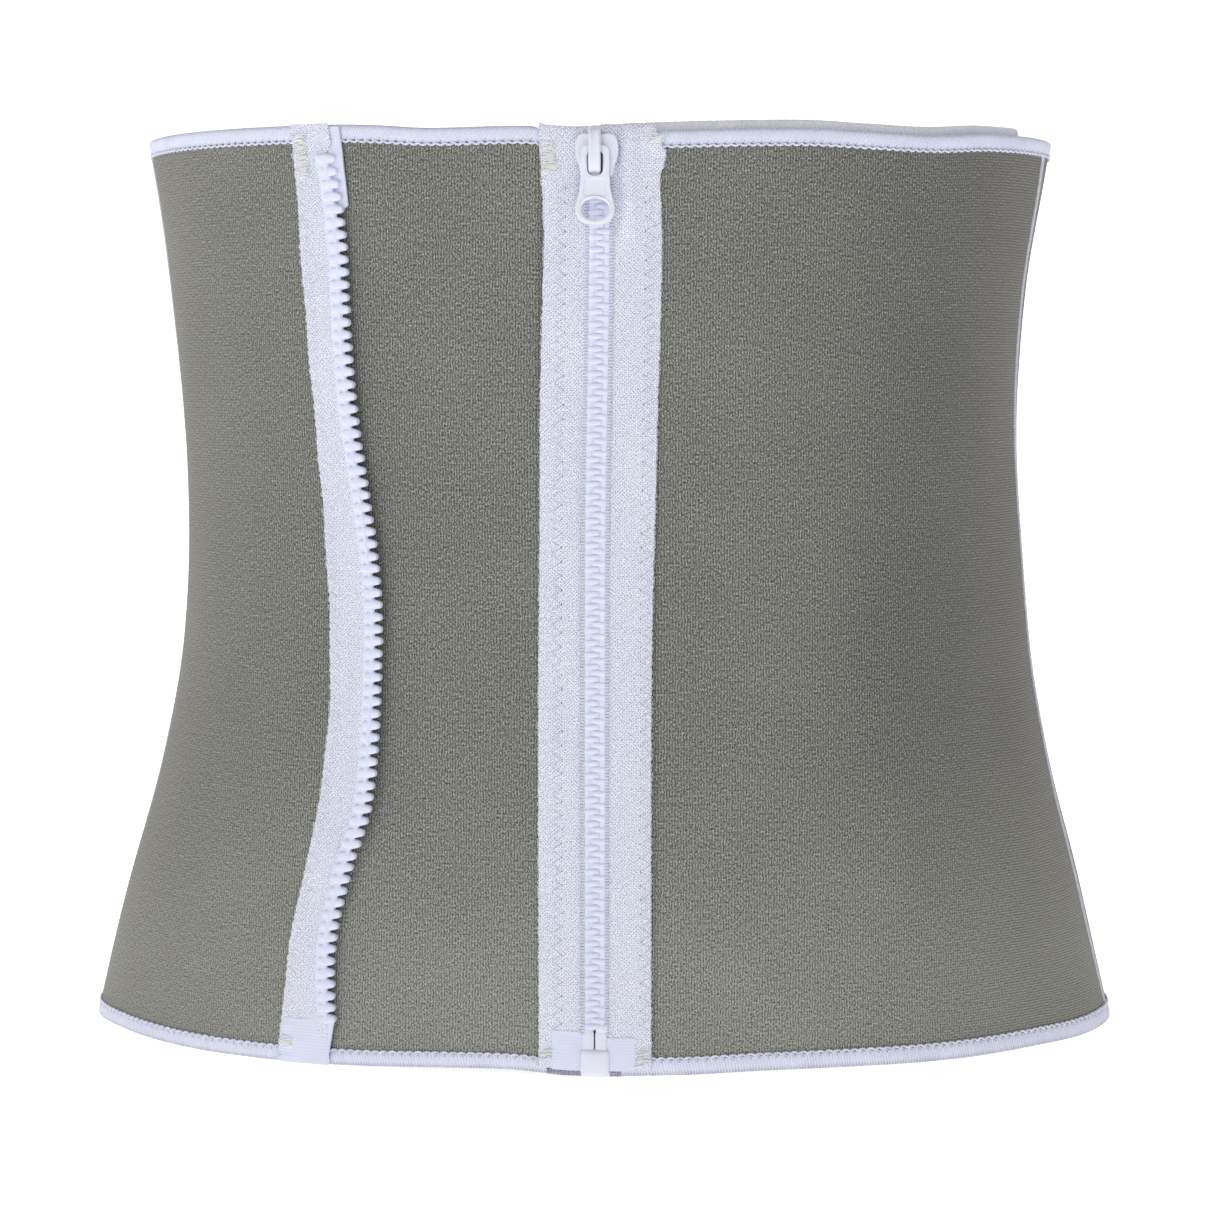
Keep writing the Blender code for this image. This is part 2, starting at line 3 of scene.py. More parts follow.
import bmesh
import bpy
import numpy as np
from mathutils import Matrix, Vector


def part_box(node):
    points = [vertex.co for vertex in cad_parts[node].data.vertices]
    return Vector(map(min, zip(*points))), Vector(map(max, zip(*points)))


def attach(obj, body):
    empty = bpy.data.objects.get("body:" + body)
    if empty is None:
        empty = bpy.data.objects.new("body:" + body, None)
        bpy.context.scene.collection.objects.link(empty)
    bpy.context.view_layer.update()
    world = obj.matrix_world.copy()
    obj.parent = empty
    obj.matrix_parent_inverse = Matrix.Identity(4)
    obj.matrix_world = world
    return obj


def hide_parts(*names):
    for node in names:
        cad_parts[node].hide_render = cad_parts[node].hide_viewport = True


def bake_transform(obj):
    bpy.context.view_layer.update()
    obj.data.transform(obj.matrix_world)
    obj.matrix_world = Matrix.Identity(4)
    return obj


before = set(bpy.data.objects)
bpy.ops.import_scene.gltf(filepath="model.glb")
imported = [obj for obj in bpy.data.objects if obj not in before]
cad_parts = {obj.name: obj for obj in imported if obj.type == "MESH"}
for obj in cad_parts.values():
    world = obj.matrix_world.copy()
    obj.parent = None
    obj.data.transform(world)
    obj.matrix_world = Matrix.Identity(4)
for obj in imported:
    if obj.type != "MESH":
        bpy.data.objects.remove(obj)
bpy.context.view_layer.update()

MM = 0.001

# The belt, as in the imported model
HALF_DEPTH = 91 * MM
BELT_Y = 3.45 * MM
ZIP_Y = BELT_Y - HALF_DEPTH
HALF_WIDTHS = MM * np.array((  # height, half width of the outer face
    (0, 167.8), (45, 157), (85, 146.2), (125, 138.7), (182, 135.4), (235, 138.9), (283.5, 146.5),
))
TOP_RISE = (1, MM) * np.array((  # girth angle in degrees, rise of the top rim above its nominal height
    (-180, 3.0), (-90, 4.3), (-60, 4.2), (-34, 3.7), (-27, 3.0), (-20, 1.8), (-8, 1.9), (-5.5, 0.5), (0, 0),
    (8, 0.6), (16, 1.3), (26, 1.9), (34, 1.4), (44, 1.2), (56, 2.8), (90, 3.5), (180, 3.0),
))
BOTTOM_RISE = (1, MM) * np.array((  # girth angle in degrees, rise of the bottom rim
    (-180, 0), (-86, 0), (-73, 0.8), (-60, 0.5), (-48, 0), (-34, 0), (-26, 0.6), (-15, 1.6), (-9, 1.6),
    (-4, 0.4), (0, 0), (4, 0), (9, 0), (18, 0.7), (40, 0.2), (54, 0.6), (66, 0), (180, 0),
))
LEAN = MM * np.array((  # height, how far both sides stand towards -X
    (0, 0), (30, 0.3), (60, 0), (110, -0.6), (150, -0.4), (180, 0.7), (200, 1.35), (235, 1.6), (265, 1.0),
    (283.5, 1.2),
))
NEOPRENE = 4.0 * MM
PANEL_TOP = 280.5 * MM
EDGING = 4.8 * MM  # how far the overlock thread reaches in from an edge
BEAD_FACE = 0.45 * MM  # how far it stands off the neoprene's outer face
BEAD_DEPTH = 5.1 * MM
ZIP_OPENING = 7.5 * MM
BACK_SEAM = 40 * MM
UNDERLAP_TOP = 283.3 * MM
UNDERLAP_START = -18 * MM
BINDING_START = UNDERLAP_START + 4.5 * MM
UNDERLAP_END = math.radians(67.7)
BINDING_END = UNDERLAP_END + 0.012
BINDING_CORNER = 2.6 * MM
UNDERLAP_FACE = -5.0 * MM
UNDERLAP_THICKNESS = 3.0 * MM
TAPE_FACE = 1.2 * MM
TAPE = 0.8 * MM
TAPE_BOTTOM, TAPE_TOP_LEFT, TAPE_TOP_RIGHT = 2.4 * MM, 281.9 * MM, 282.5 * MM
CHAIN_BOTTOM, CHAIN_TOP = 13 * MM, 277.5 * MM
TAPE_INNER = 3.6 * MM
TOOTH_PITCH = 3.6 * MM
TOOTH_MIDDLE = 0.75 * MM  # how far out the middle of the teeth is
TEETH_BOTTOM = 15.75 * MM
TEETH_COUNT = 72
SPARE_BOTTOM = 14.8 * MM  # the middle of the spare row's first tooth
SPARE_EDGE = MM * np.array((  # height, distance from the zip of the spare tape's sewn edge
    (0, -98.5), (40, -93.5), (75, -85.8), (113, -81.5), (165, -83), (220, -87), (283.5, -91.8),
))
SPARE_TIPS = MM * np.array((  # height, distance from the zip of the teeth's tips
    (0, -78.7), (36, -78.9), (59, -74.0), (82, -66.8), (120, -64.0), (150, -64.2), (200, -70.8),
    (250, -74.0), (283.5, -79.5),
))
STITCH = 2.7 * MM  # of the overlocked edges
CORD_LOOP = 0.93 * MM  # of the weft round the tapes' cords

rng = np.random.default_rng(7)


# ---------------------------------------------------------------- the belt's shape


def smooth_through(points, at):
    """A smooth curve through points (place, value), read at many places."""
    places, values = np.array(points).T
    slopes, spans = np.gradient(values), np.gradient(places)
    slopes[1:-1] = values[2:] - values[:-2]
    spans[1:-1] = places[2:] - places[:-2]
    slopes = slopes / spans
    i = np.clip(np.searchsorted(places, at) - 1, 0, len(places) - 2)
    width = places[i + 1] - places[i]
    t = (at - places[i]) / width
    return (
        (2 * t**3 - 3 * t**2 + 1) * values[i]
        + (t**3 - 2 * t**2 + t) * width * slopes[i]
        + (3 * t**2 - 2 * t**3) * values[i + 1]
        + (t**3 - t**2) * width * slopes[i + 1]
    )


def half_width(height):
    return smooth_through(HALF_WIDTHS, np.asarray(height, float))


def ripple(angle, height):
    """The neoprene is soft: it gives way a little here and there."""
    calm = np.clip(1 - np.exp(-((angle / 0.16) ** 2)), 0, 1)  # but not at the zip
    low = 0.5 + 0.5 * np.sin(5 * angle + 22 * height + 0.7)
    mid = 0.5 + 0.5 * np.sin(11 * angle - 41 * height + 2.1)
    fine = 0.5 + 0.5 * np.sin(-23 * angle + 63 * height)
    return -calm * (0.55 * low + 0.35 * mid + 0.12 * fine) * MM


def rise(angle, height):
    """The belt's rims aren't level: how far a place stands above its nominal height."""
    degrees = (np.degrees(angle) + 180) % 360 - 180
    share = np.clip(height / PANEL_TOP, 0, 1.1)
    top = smooth_through(TOP_RISE, degrees)
    bottom = np.maximum(smooth_through(BOTTOM_RISE, degrees), 0)
    return top * share**3 + bottom * (1 - np.minimum(share, 1)) ** 3


def lean(angle, height):
    """How far a place stands towards -X: the sides lean, the zip and the back don't."""
    return smooth_through(LEAN, height) * np.sin(angle) ** 2


def on_belt(angle, height, offset):
    angle, height, offset = np.broadcast_arrays(angle, height, offset)
    width = half_width(height)
    across, along = np.sin(angle) / width, -np.cos(angle) / HALF_DEPTH
    size = np.hypot(across, along)
    out = offset + ripple(angle, height)
    return np.stack(
        (
            width * np.sin(angle) + across / size * out - lean(angle, height),
            BELT_Y - HALF_DEPTH * np.cos(angle) + along / size * out,
            height + rise(angle, height),
        ),
        -1,
    )


def beside_zip(distance):
    """The line at a distance from the zip, in millimetres, as a function of height."""
    return lambda z: distance * MM + sway(z)


def front_angle(x, height):
    return np.arcsin(x / half_width(height))


def back_angle(x, height):
    return math.pi - front_angle(x, height)


def right_side(height):
    return np.radians(81 - 6 * (np.asarray(height) / PANEL_TOP) ** 3)


def left_side(height):
    return -np.radians(89 - 5 * (np.asarray(height) / PANEL_TOP) ** 3)


ARC_ANGLES = np.linspace(-2 * math.pi, 2 * math.pi, 4001)


def arc_table(width):
    middle = (ARC_ANGLES[1:] + ARC_ANGLES[:-1]) / 2
    steps = np.hypot(width * np.cos(middle), HALF_DEPTH * np.sin(middle)) * np.diff(ARC_ANGLES)
    lengths = np.concatenate(([0], np.cumsum(steps)))
    return lengths - lengths[len(lengths) // 2]


WAIST_ARC, RIM_ARC = arc_table(0.135), arc_table(0.168)


def girth(angle, height):
    """The length round the belt from the zip to a girth angle."""
    share = (half_width(height) - 0.135) / 0.033
    waist, rim = (np.interp(angle, ARC_ANGLES, table) for table in (WAIST_ARC, RIM_ARC))
    return waist + (rim - waist) * share


def angle_at(length, height):
    """The girth angle at a length round the belt."""
    length, height = np.broadcast_arrays(np.asarray(length, float), np.asarray(height, float))
    angle = np.interp(length, WAIST_ARC, ARC_ANGLES)
    for _ in range(4):
        radius = np.hypot(half_width(height) * np.cos(angle), HALF_DEPTH * np.sin(angle))
        angle = angle + (length - girth(angle, height)) / radius
    return angle


def sway(height):
    """The zip isn't dead straight: it leans by about a millimetre."""
    return (-0.2 + 0.75 * np.tanh((np.asarray(height) - 0.2) / 0.04)) * MM


# ---------------------------------------------------------------- mesh building


class Piece:
    """One mesh, built from closed grids and tubes."""

    def __init__(self, name):
        self.name = name
        self.points, self.faces, self.flat = [], [], []
        self.count = 0

    def grid(self, points, lay):
        """A closed tube: rows of cyclic sections. lay is the flat pattern, with one column more."""
        rows, columns = points.shape[:2]
        number = self.count + np.arange(rows * columns).reshape(rows, columns)
        after = np.roll(number, -1, 1)
        quads = np.stack((number[:-1], after[:-1], after[1:], number[1:]), -1).reshape(-1, 4)
        lay_quads = np.stack((lay[:-1, :-1], lay[:-1, 1:], lay[1:, 1:], lay[1:, :-1]), 2)
        self.faces.append(quads)
        self.flat.append(lay_quads.reshape(-1, 2))
        near = np.arange(columns // 2 - 1)
        far = columns - 1 - near
        cap = np.stack((near, near + 1, far - 1, far), -1)
        for row in (0, rows - 1):
            self.faces.append(number[row][cap])
            self.flat.append(lay[row][cap].reshape(-1, 2))
        self.points.append(points.reshape(-1, 3))
        self.count += rows * columns

    def tube(self, path, radius, sides=6, closed=False):
        """A thread along a path of points."""
        path = np.asarray(path, float)
        if closed:
            path = np.vstack((path, path[:1]))
        heading = np.gradient(path, axis=0)
        if closed:
            heading[0] = heading[-1] = path[1] - path[-2]
        heading /= np.linalg.norm(heading, axis=1, keepdims=True) + 1e-12
        level = np.abs(heading[:, 2]).mean() < 0.8
        side = np.cross(heading, (0.21, 0.31, 0.93) if level else (0.3, 0.95, 0.1))
        side /= np.linalg.norm(side, axis=1, keepdims=True)
        over = np.cross(side, heading)
        turn = np.arange(sides) / sides * 2 * math.pi
        radius = np.broadcast_to(radius, len(path))[:, None, None]
        ring = side[:, None] * np.cos(turn)[:, None] + over[:, None] * np.sin(turn)[:, None]
        run = np.concatenate(([0], np.cumsum(np.linalg.norm(np.diff(path, axis=0), axis=1))))
        round_it = np.arange(sides + 1) / sides * 2 * math.pi * float(radius.mean())
        self.grid(path[:, None] + ring * radius, np.stack(np.meshgrid(round_it, run), -1))

    def thread(self, x, z, out, radius=0.16 * MM, sides=5):
        """A thread on the belt, along distances from the zip and heights."""
        self.tube(on_belt(front_angle(x, z), z, out), radius, sides)

    def made(self, look, slot, body, *replaced, hinge=False):
        mesh = bpy.data.meshes.new(self.name)
        faces = np.concatenate(self.faces)
        points = np.concatenate(self.points)
        mesh.from_pydata(points.tolist(), [], faces.tolist())
        lay = mesh.uv_layers.new(name="lay")
        lay.data.foreach_set("uv", np.concatenate(self.flat).astype(np.float32).ravel())
        shape = bmesh.new()
        shape.from_mesh(mesh)
        bmesh.ops.recalc_face_normals(shape, faces=shape.faces)
        shape.to_mesh(mesh)
        shape.free()
        mesh.shade_smooth()
        mesh.set_sharp_from_angle(angle=math.radians(50))
        dress(placed(self.name, mesh), look, slot, body, *replaced, hinge=hinge)


def placed(name, data):
    """A new object in the scene."""
    obj = bpy.data.objects.new(name, data)
    bpy.context.scene.collection.objects.link(obj)
    return obj


def dress(obj, look, slot, body, *replaced, hinge=False):
    """Gives a piece its material and its place on the frame."""
    obj.data.materials.clear()
    obj.data.materials.append(look)
    if hinge:
        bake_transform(obj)
    else:
        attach(obj, body)
    if replaced:
        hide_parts(*replaced)


def rounded(low, high, step, radius):
    """Places across a sheet with rounded edges, and its share of the full thickness at each."""
    turn = np.radians((20, 50, 90))
    rim, share = radius * (1 - np.cos(turn)), np.sin(turn)
    count = max(2, round((high - low) / step))
    middle = np.linspace(low + radius, high - radius, count + 1)[1:-1]
    places = np.concatenate((low + rim, middle, high - rim[::-1]))
    return places, np.concatenate((share, np.ones(len(middle)), share[::-1]))


def flat_pattern(u, v):
    """The flat pattern of a grid of closed sections, which takes one column more than its points."""
    lay = np.stack((u, v), -1)
    return np.concatenate((lay, lay[:, :1]), 1)


def circle(count):
    """Cosines and sines of places round a section, with no place on its axes."""
    turn = (np.arange(count) + 0.5) / count * 2 * math.pi
    return np.cos(turn), np.sin(turn)


def bent(value, power):
    """A value's size to a power, with its sign kept: it squares off a round section."""
    return np.sign(value) * np.abs(value) ** power


def both_faces(outer, inner):
    """A section's outer face followed by its inner face, back the other way."""
    return np.concatenate((outer, inner[:, ::-1]), 1)


def sheet(piece, along, across, share, place, thickness):
    """A closed sheet. place(along, across) gives its angle, height and outer offset."""
    a, c = np.meshgrid(along, across, indexing="ij")
    angle, height, face = np.broadcast_arrays(*place(a, c))
    middle, half = face - thickness / 2, thickness / 2 * share[None]
    outer, inner = (on_belt(angle, height, middle + sign * half) for sign in (1, -1))
    length = girth(angle, height)
    piece.grid(both_faces(outer, inner), flat_pattern(both_faces(length, length), both_faces(height, height)))


def band(piece, low, high, near, far, face, thickness, step=(0.5 * MM, 0.5 * MM), radius=0.3 * MM):
    """A strip that runs up the belt between two distances from the zip, near(z) and far(z)."""
    heights = np.linspace(low, high, max(3, round((high - low) / step[1]) + 1))
    across, share = rounded(0, 1, step[0] / (14 * MM), radius / (14 * MM))

    def place(z, s):
        x = near(z) + (far(z) - near(z)) * s
        return front_angle(x, z), z, face(x, z, s)

    sheet(piece, heights, across, share, place, thickness)


# ---------------------------------------------------------------- materials


class Value:
    """A number that a material works out at every place, with + - * and abs."""

    def __init__(self, look, socket):
        self.look, self.socket = look, socket

    def __add__(self, other):
        return self.look.calc("ADD", self, other)

    def __sub__(self, other):
        return self.look.calc("SUBTRACT", self, other)

    def __rsub__(self, other):
        return self.look.calc("SUBTRACT", other, self)

    def __mul__(self, other):
        return self.look.calc("MULTIPLY", self, other)

    def __abs__(self):
        return self.look.calc("ABSOLUTE", self)

    __radd__, __rmul__ = __add__, __mul__


class Look:
    """A procedural material, built node by node on the flat pattern in millimetres."""

    def __init__(self, name, **shader):
        self.material = bpy.data.materials.new(name)
        self.material.use_nodes = True
        self.tree = self.material.node_tree
        self.shader = self.tree.nodes["Principled BSDF"]
        for key, value in shader.items():
            self.shader.inputs[key.replace("_", " ")].default_value = value
        self.lay = self.scaled(self.node("UVMap", {}, uv_map="lay").outputs[0], (1000, 1000, 1000))
        split = self.node("SeparateXYZ", {0: self.lay})
        self.u, self.v = Value(self, split.outputs[0]), Value(self, split.outputs[1])

    def node(self, kind, inputs, **settings):
        made = self.tree.nodes.new("ShaderNode" + kind)
        for key, value in settings.items():
            setattr(made, key, value)
        for key, value in inputs.items():
            value = getattr(value, "socket", value)
            if isinstance(value, bpy.types.NodeSocket):
                self.tree.links.new(value, made.inputs[key])
            else:
                made.inputs[key].default_value = value
        return made

    def scaled(self, vector, scale):
        return self.node("VectorMath", {0: vector, 1: scale}, operation="MULTIPLY").outputs[0]

    def calc(self, operation, *values):
        return Value(self, self.node("Math", dict(enumerate(values)), operation=operation).outputs[0])

    def wave(self, value, period, phase=0.0):
        """A sine of a place in millimetres, from -1 to 1."""
        return self.calc("SINE", value * (2 * math.pi / period) + phase)

    def noise(self, size, stretch=(1, 1, 1), detail=2.0, roughness=0.55):
        """Noise of a grain size in millimetres, around 0 and about 0.5 high."""
        where = self.scaled(self.lay, tuple(1 / (size * s) for s in stretch))
        settings = {"Vector": where, "Scale": 1.0, "Detail": detail, "Roughness": roughness}
        return Value(self, self.node("TexNoise", settings).outputs[0]) - 0.5

    def ramp(self, value, low, high):
        """0 at low and 1 at high, smoothly."""
        settings = {0: value, 1: low, 2: high, 3: 0.0, 4: 1.0}
        return Value(self, self.node("MapRange", settings, interpolation_type="SMOOTHSTEP").outputs[0])

    def mix(self, share, a, b):
        return self.node("Mix", {0: share, 6: a, 7: b}, data_type="RGBA").outputs[2]

    def colour(self, share, *steps):
        """A colour ramp from steps of (place, linear colour)."""
        made = self.node("ValToRGB", {0: share})
        ramp = made.color_ramp
        while len(ramp.elements) < len(steps):
            ramp.elements.new(0.5)
        for element, (place, colour) in zip(ramp.elements, steps):
            element.position = place
            element.color = (*colour, 1)
        return made.outputs[0]

    def finish(self, colour, height, depth, strength=1.0, roughness=None):
        bump = self.node("Bump", {"Height": height, "Distance": depth, "Strength": strength})
        self.tree.links.new(colour, self.shader.inputs["Base Color"])
        self.tree.links.new(bump.outputs[0], self.shader.inputs["Normal"])
        if roughness is not None:
            self.tree.links.new(roughness.socket, self.shader.inputs["Roughness"])
        return self.material


def tone(value, gain):
    return tuple(min(c * gain, 0.98) for c in value)


def knit_look(name, base, contrast=1.0):
    """Neoprene's laminated jersey: wales up the belt, fine courses across, a heathered yarn."""
    look = Look(name, Roughness=0.95, Sheen_Weight=0.1, Sheen_Roughness=0.45, Sheen_Tint=(1, 0.97, 0.93, 1))
    wander = look.noise(5.0, detail=1.0)
    wale = look.wave(wander * 0.9 + look.u, 0.86)
    course = look.wave(wander * 0.5 + look.v, 0.82)
    around = abs(look.u)
    # towards the belt's sides the courses show more and the wales less
    side = look.ramp(around, 85.0, 150.0) * (1.0 - look.ramp(around, 190.0, 230.0))
    right = look.ramp(look.u, -1.0, 1.0)
    ribs = course * (side * (right * 0.15 + 0.10) + 0.03)
    speck = 1.0 - side * right * 0.3
    grain = look.noise(0.45, (0.85, 1.5, 1), detail=1.0, roughness=0.6) * speck
    flock = look.noise(0.85, (1, 1.5, 1), detail=2.0, roughness=0.6) * speck
    cloud = look.noise(38.0, detail=2.0)
    # painted shade: the right part of the front is darkened, the more the higher up
    shaded = look.ramp(look.u, 40.0, 125.0) * (1.0 - look.ramp(around, 200.0, 250.0))
    tape_edge_shade = look.ramp(around, 17.0, 18.9) - 1.0  # painted shade beside the far edges of the zip's tapes
    share = (
        grain * (2.45 * contrast)
        + flock * (0.6 * contrast)
        + wale * (side * (-0.12 * contrast) + 0.17 * contrast)
        + ribs * contrast
        + cloud * 0.16
        # painted shade on the right part of the front, and painted light: the knit turns lighter towards the
        # bottom
        + shaded * (look.ramp(look.v, 20.0, 150.0) * -0.15 - 0.05)
        - look.ramp(look.v, 10.0, 110.0) * 0.18
        + tape_edge_shade * 0.1
        + 0.64
    )
    colour = look.colour(
        share, (0.0, tone(base, 0.3)), (0.32, tone(base, 0.66)), (0.52, base), (0.78, tone(base, 1.55)),
        (1.0, tone(base, 2.1)),
    )
    # painted sheen: towards the belt's sides the knit is mixed with a lighter, warmer tone
    painted_sheen_tone = tone((base[0] * 1.14, base[1] * 1.02, base[2] * 1.06), 1.05)
    colour = look.mix(side * 0.3, colour, (*painted_sheen_tone, 1))
    return look.finish(colour, wale * 0.3 + ribs * 1.5 + grain + flock * 0.5, 0.00012, 0.8)


def thread_look(name, base, lean=0.0, holes=0.5, under=0.0):
    """Overlock thread wound over an edge. u runs along the edge and v is the distance from it.

    holes is how dark the painted shade in its needle holes and in the furrows between stitches is, and under
    how dark the painted shade at its very edge is.
    """
    look = Look(name, Roughness=0.72, Sheen_Weight=0.25, Sheen_Roughness=0.4)
    strand = look.wave(look.noise(2.2) * 0.5 + (look.v * lean + look.u), 0.9)
    fuzz = look.noise(0.35, detail=2.0)
    beat = look.calc("FRACT", look.calc("DIVIDE", look.u, STITCH / MM))
    middle = abs(beat - 0.5)  # 0 mid-stitch, 0.5 between two
    share = strand * 0.10 + fuzz * 0.6 + look.noise(9.0) * 0.3 + 0.62
    # painted shade in the needle holes and in the furrows between stitches
    if holes:
        across = middle * (STITCH / MM)
        up = look.v - (EDGING / MM - 1.05)
        hole = 1.0 - look.ramp(look.calc("SQRT", across * across + up * up), 0.12, 0.5)
        furrow_shade = look.ramp(middle, 0.38, 0.5) * look.ramp(look.v, 1.2, 4.5)
        share = share - hole * holes - furrow_shade * (0.24 * holes)
    # painted shade at the very edge of the thread
    if under:
        share = share + look.ramp(look.v, 0.2, 2.2) * under - under
    colour = look.colour(
        share, (0.0, tone(base, 0.22)), (0.3, tone(base, 0.7)), (0.62, base), (1.0, tone(base, 1.16))
    )
    return look.finish(colour, strand + fuzz * 1.5, 0.00009, 0.8)


def tape_look(name, base):
    """Zip tape: a fine twill whose direction turns, so that it reads as rows of small diamonds."""
    look = Look(name, Roughness=0.78, Sheen_Weight=0.2, Sheen_Roughness=0.4)
    wander = look.noise(6.0) * 0.5
    u, v = look.u + wander, look.v + wander
    rise, fall = look.wave(u + v, 1.04), look.wave(u - v, 1.04)
    turn = look.ramp(look.noise(2.4, detail=1.0), -0.09, 0.09)
    twill = fall + turn * (rise - fall)
    knot = rise * fall
    fuzz = look.noise(0.55, detail=1.5, roughness=0.65)
    cloud = look.noise(16.0, (1, 2, 1))
    lower = look.ramp(look.v, 10.0, 120.0)
    share = twill * 0.36 + knot * 0.42 + fuzz * 1.7 + cloud * 0.25 - lower * 0.06 + 0.58
    shade = (base[0] * 0.9, base[1] * 0.92, base[2])
    colour = look.colour(
        share, (0.0, tone(shade, 0.52)), (0.28, tone(shade, 0.78)), (0.55, base), (1.0, tone(base, 1.25))
    )
    return look.finish(colour, twill * 0.6 + knot * 0.3 + fuzz, 0.00012, 0.9)


def plastic_look(name, base, roughness=0.35):
    """Moulded acetal, with the faint flow marks of its mould."""
    look = Look(name, Specular_IOR_Level=0.45, Subsurface_Weight=0.08, Subsurface_Scale=0.001)
    flow = look.noise(1.6, (1, 2, 1))
    colour = look.colour(flow * 0.6 + 0.5, (0.0, tone(base, 0.9)), (0.5, base), (1.0, tone(base, 1.07)))
    return look.finish(colour, flow + look.noise(0.3), 0.00002, 0.5, flow * 0.3 + roughness)


def film_look(name, base):
    """The clear film that stiffens a tape's end, with the tape's weft showing through as fine lines."""
    look = Look(name, Specular_IOR_Level=0.5, Coat_Weight=0.25, Coat_Roughness=0.2)
    weft = look.wave(look.noise(4.0) * 0.4 + look.v, 0.95)
    fuzz = look.noise(0.7)
    share = weft * 0.05 + fuzz * 0.25 + look.noise(7.0) * 0.3 + 0.5
    colour = look.colour(share, (0.0, tone(base, 0.8)), (0.5, base), (1.0, tone(base, 1.1)))
    return look.finish(colour, weft + fuzz, 0.00003, 0.5, fuzz * 0.25 + 0.38)


def twist_look(name, base, furrow_shading=0.0):
    """Sewing thread: a two-ply twist. Its last argument sets how dark the painted shade in the furrows
    between the loops round a cord is.
    """
    look = Look(name, Roughness=0.6, Sheen_Weight=0.2)
    ply = look.wave(look.u * 1.4 + look.v, 0.5)
    fuzz = look.noise(0.4)
    # painted shade in the furrows between the loops round a cord
    furrow_shade = look.ramp(look.wave(look.v, CORD_LOOP / MM, math.pi / 2), -0.2, 0.9)
    share = ply * 0.15 + fuzz * 0.4 - furrow_shade * furrow_shading + 0.6
    colour = look.colour(share, (0.0, tone(base, 0.4)), (0.6, base), (1.0, tone(base, 1.15)))
    return look.finish(colour, ply + fuzz, 0.00006, 0.8)


def steel_look(name):
    """Spring steel, brushed along its length."""
    look = Look(name, Metallic=1.0)
    where = look.scaled(look.node("TexCoord", {}).outputs["Object"], (6000, 6000, 60))
    brush = look.node("TexNoise", {"Vector": where, "Scale": 1.0, "Detail": 2.0}).outputs[0]
    colour = look.colour(brush, (0.2, (0.42, 0.42, 0.43)), (0.8, (0.66, 0.66, 0.67)))
    return look.finish(colour, brush, 0.00002, 0.6, Value(look, brush) * 0.3 + 0.2)


KNIT = knit_look("knit_laminate", (0.200, 0.204, 0.184))
RAW = knit_look("raw_neoprene_edge", (0.33, 0.31, 0.37), 0.6)
LINING = knit_look("lining_jersey", (0.15, 0.15, 0.14), 0.7)
OVERLOCK_TOP = thread_look("overlock_thread_top", (0.77, 0.80, 0.98), lean=0.5, holes=0.22, under=0.10)
# painted light: a lighter copy of the overlock thread, making up for the shade behind the front panel's bead
OVERLOCK_GUARD_LIT = thread_look("overlock_thread_guard_painted_light", (0.90, 0.92, 0.98), lean=0.5, holes=0.2)
# painted shade: the bottom rim's thread turns much darker at its very edge, underneath
OVERLOCK = thread_look("overlock_thread", (0.79, 0.81, 0.97), lean=0.2, holes=0.35, under=0.42)
FLAT_THREAD = thread_look("flatlock_thread", (0.76, 0.77, 0.86), holes=0)
TAPE_LOOK = tape_look("zip_tape_twill", (0.82, 0.84, 0.98))
PLASTIC = plastic_look("moulded_acetal", (0.80, 0.82, 0.91))
TOOTH = plastic_look("tooth_acetal", (0.75, 0.78, 0.94), 0.45)
FILM = film_look("tape_end_film", (0.73, 0.76, 0.92))
TWIST = twist_look("white_sewing_thread", (0.86, 0.87, 0.95))
CORD = twist_look("tape_cord_thread", (0.80, 0.82, 0.97), furrow_shading=0.24)
CREAM = twist_look("cream_sewing_thread", (0.97, 0.97, 0.97))
# painted shade: a darker copy of the white sewing thread, for the zigzags sunk into the tapes
SHADED_SEWING_THREAD = twist_look("shaded_sewing_thread", (0.60, 0.63, 0.78))
# painted shade: dark blobs that stand for the shade in the tapes' needle holes
NEEDLE_HOLE_SHADE = twist_look("needle_hole_shade", (0.16, 0.17, 0.22))
# painted shade: near-black plastic for the shade in the slider's slot
SLOT_SHADE = plastic_look("painted_slot_shade", (0.10, 0.10, 0.12), 0.6)
STEEL = steel_look("stay_steel")


# ---------------------------------------------------------------- neoprene


def panel(name, start, end, body, node, hinge=False):
    """One panel of neoprene, with rounded edges that meet its neighbours in a shallow groove."""
    piece = Piece(name)
    low, high = 1.6 * MM, PANEL_TOP - 1.6 * MM
    heights = np.linspace(low, high, 141)
    across, share = rounded(0, 1, 1 / 70, 1.2 / 150)

    def place(z, s):
        return start(z) + (end(z) - start(z)) * s, z, 0 * z

    sheet(piece, heights, across, share, place, NEOPRENE)
    return piece.made(KNIT, "neoprene", body, node, hinge=hinge)


def make_panels():
    hair = 0.05 * MM / HALF_DEPTH
    panel(
        "neoprene_left_front", lambda z: left_side(z) + hair, lambda z: front_angle(-ZIP_OPENING, z),
        "left_half", "left_front_panel",
    )
    panel(
        "neoprene_right_front", lambda z: front_angle(ZIP_OPENING, z), lambda z: right_side(z) - hair,
        "right_half", "right_front_panel",
    )
    panel(
        "neoprene_left_back", lambda z: back_angle(-BACK_SEAM - hair, z) - 2 * math.pi,
        lambda z: left_side(z) - hair, "left_half", "left_back_panel",
    )
    panel(
        "neoprene_right_back", lambda z: right_side(z) + hair, lambda z: back_angle(BACK_SEAM + hair, z),
        "right_half", "right_back_panel", hinge=True,
    )
    panel(
        "neoprene_back", lambda z: back_angle(BACK_SEAM - hair, z), lambda z: back_angle(hair - BACK_SEAM, z),
        "left_half", "back_panel", hinge=True,
    )


# ---------------------------------------------------------------- overlocked edges


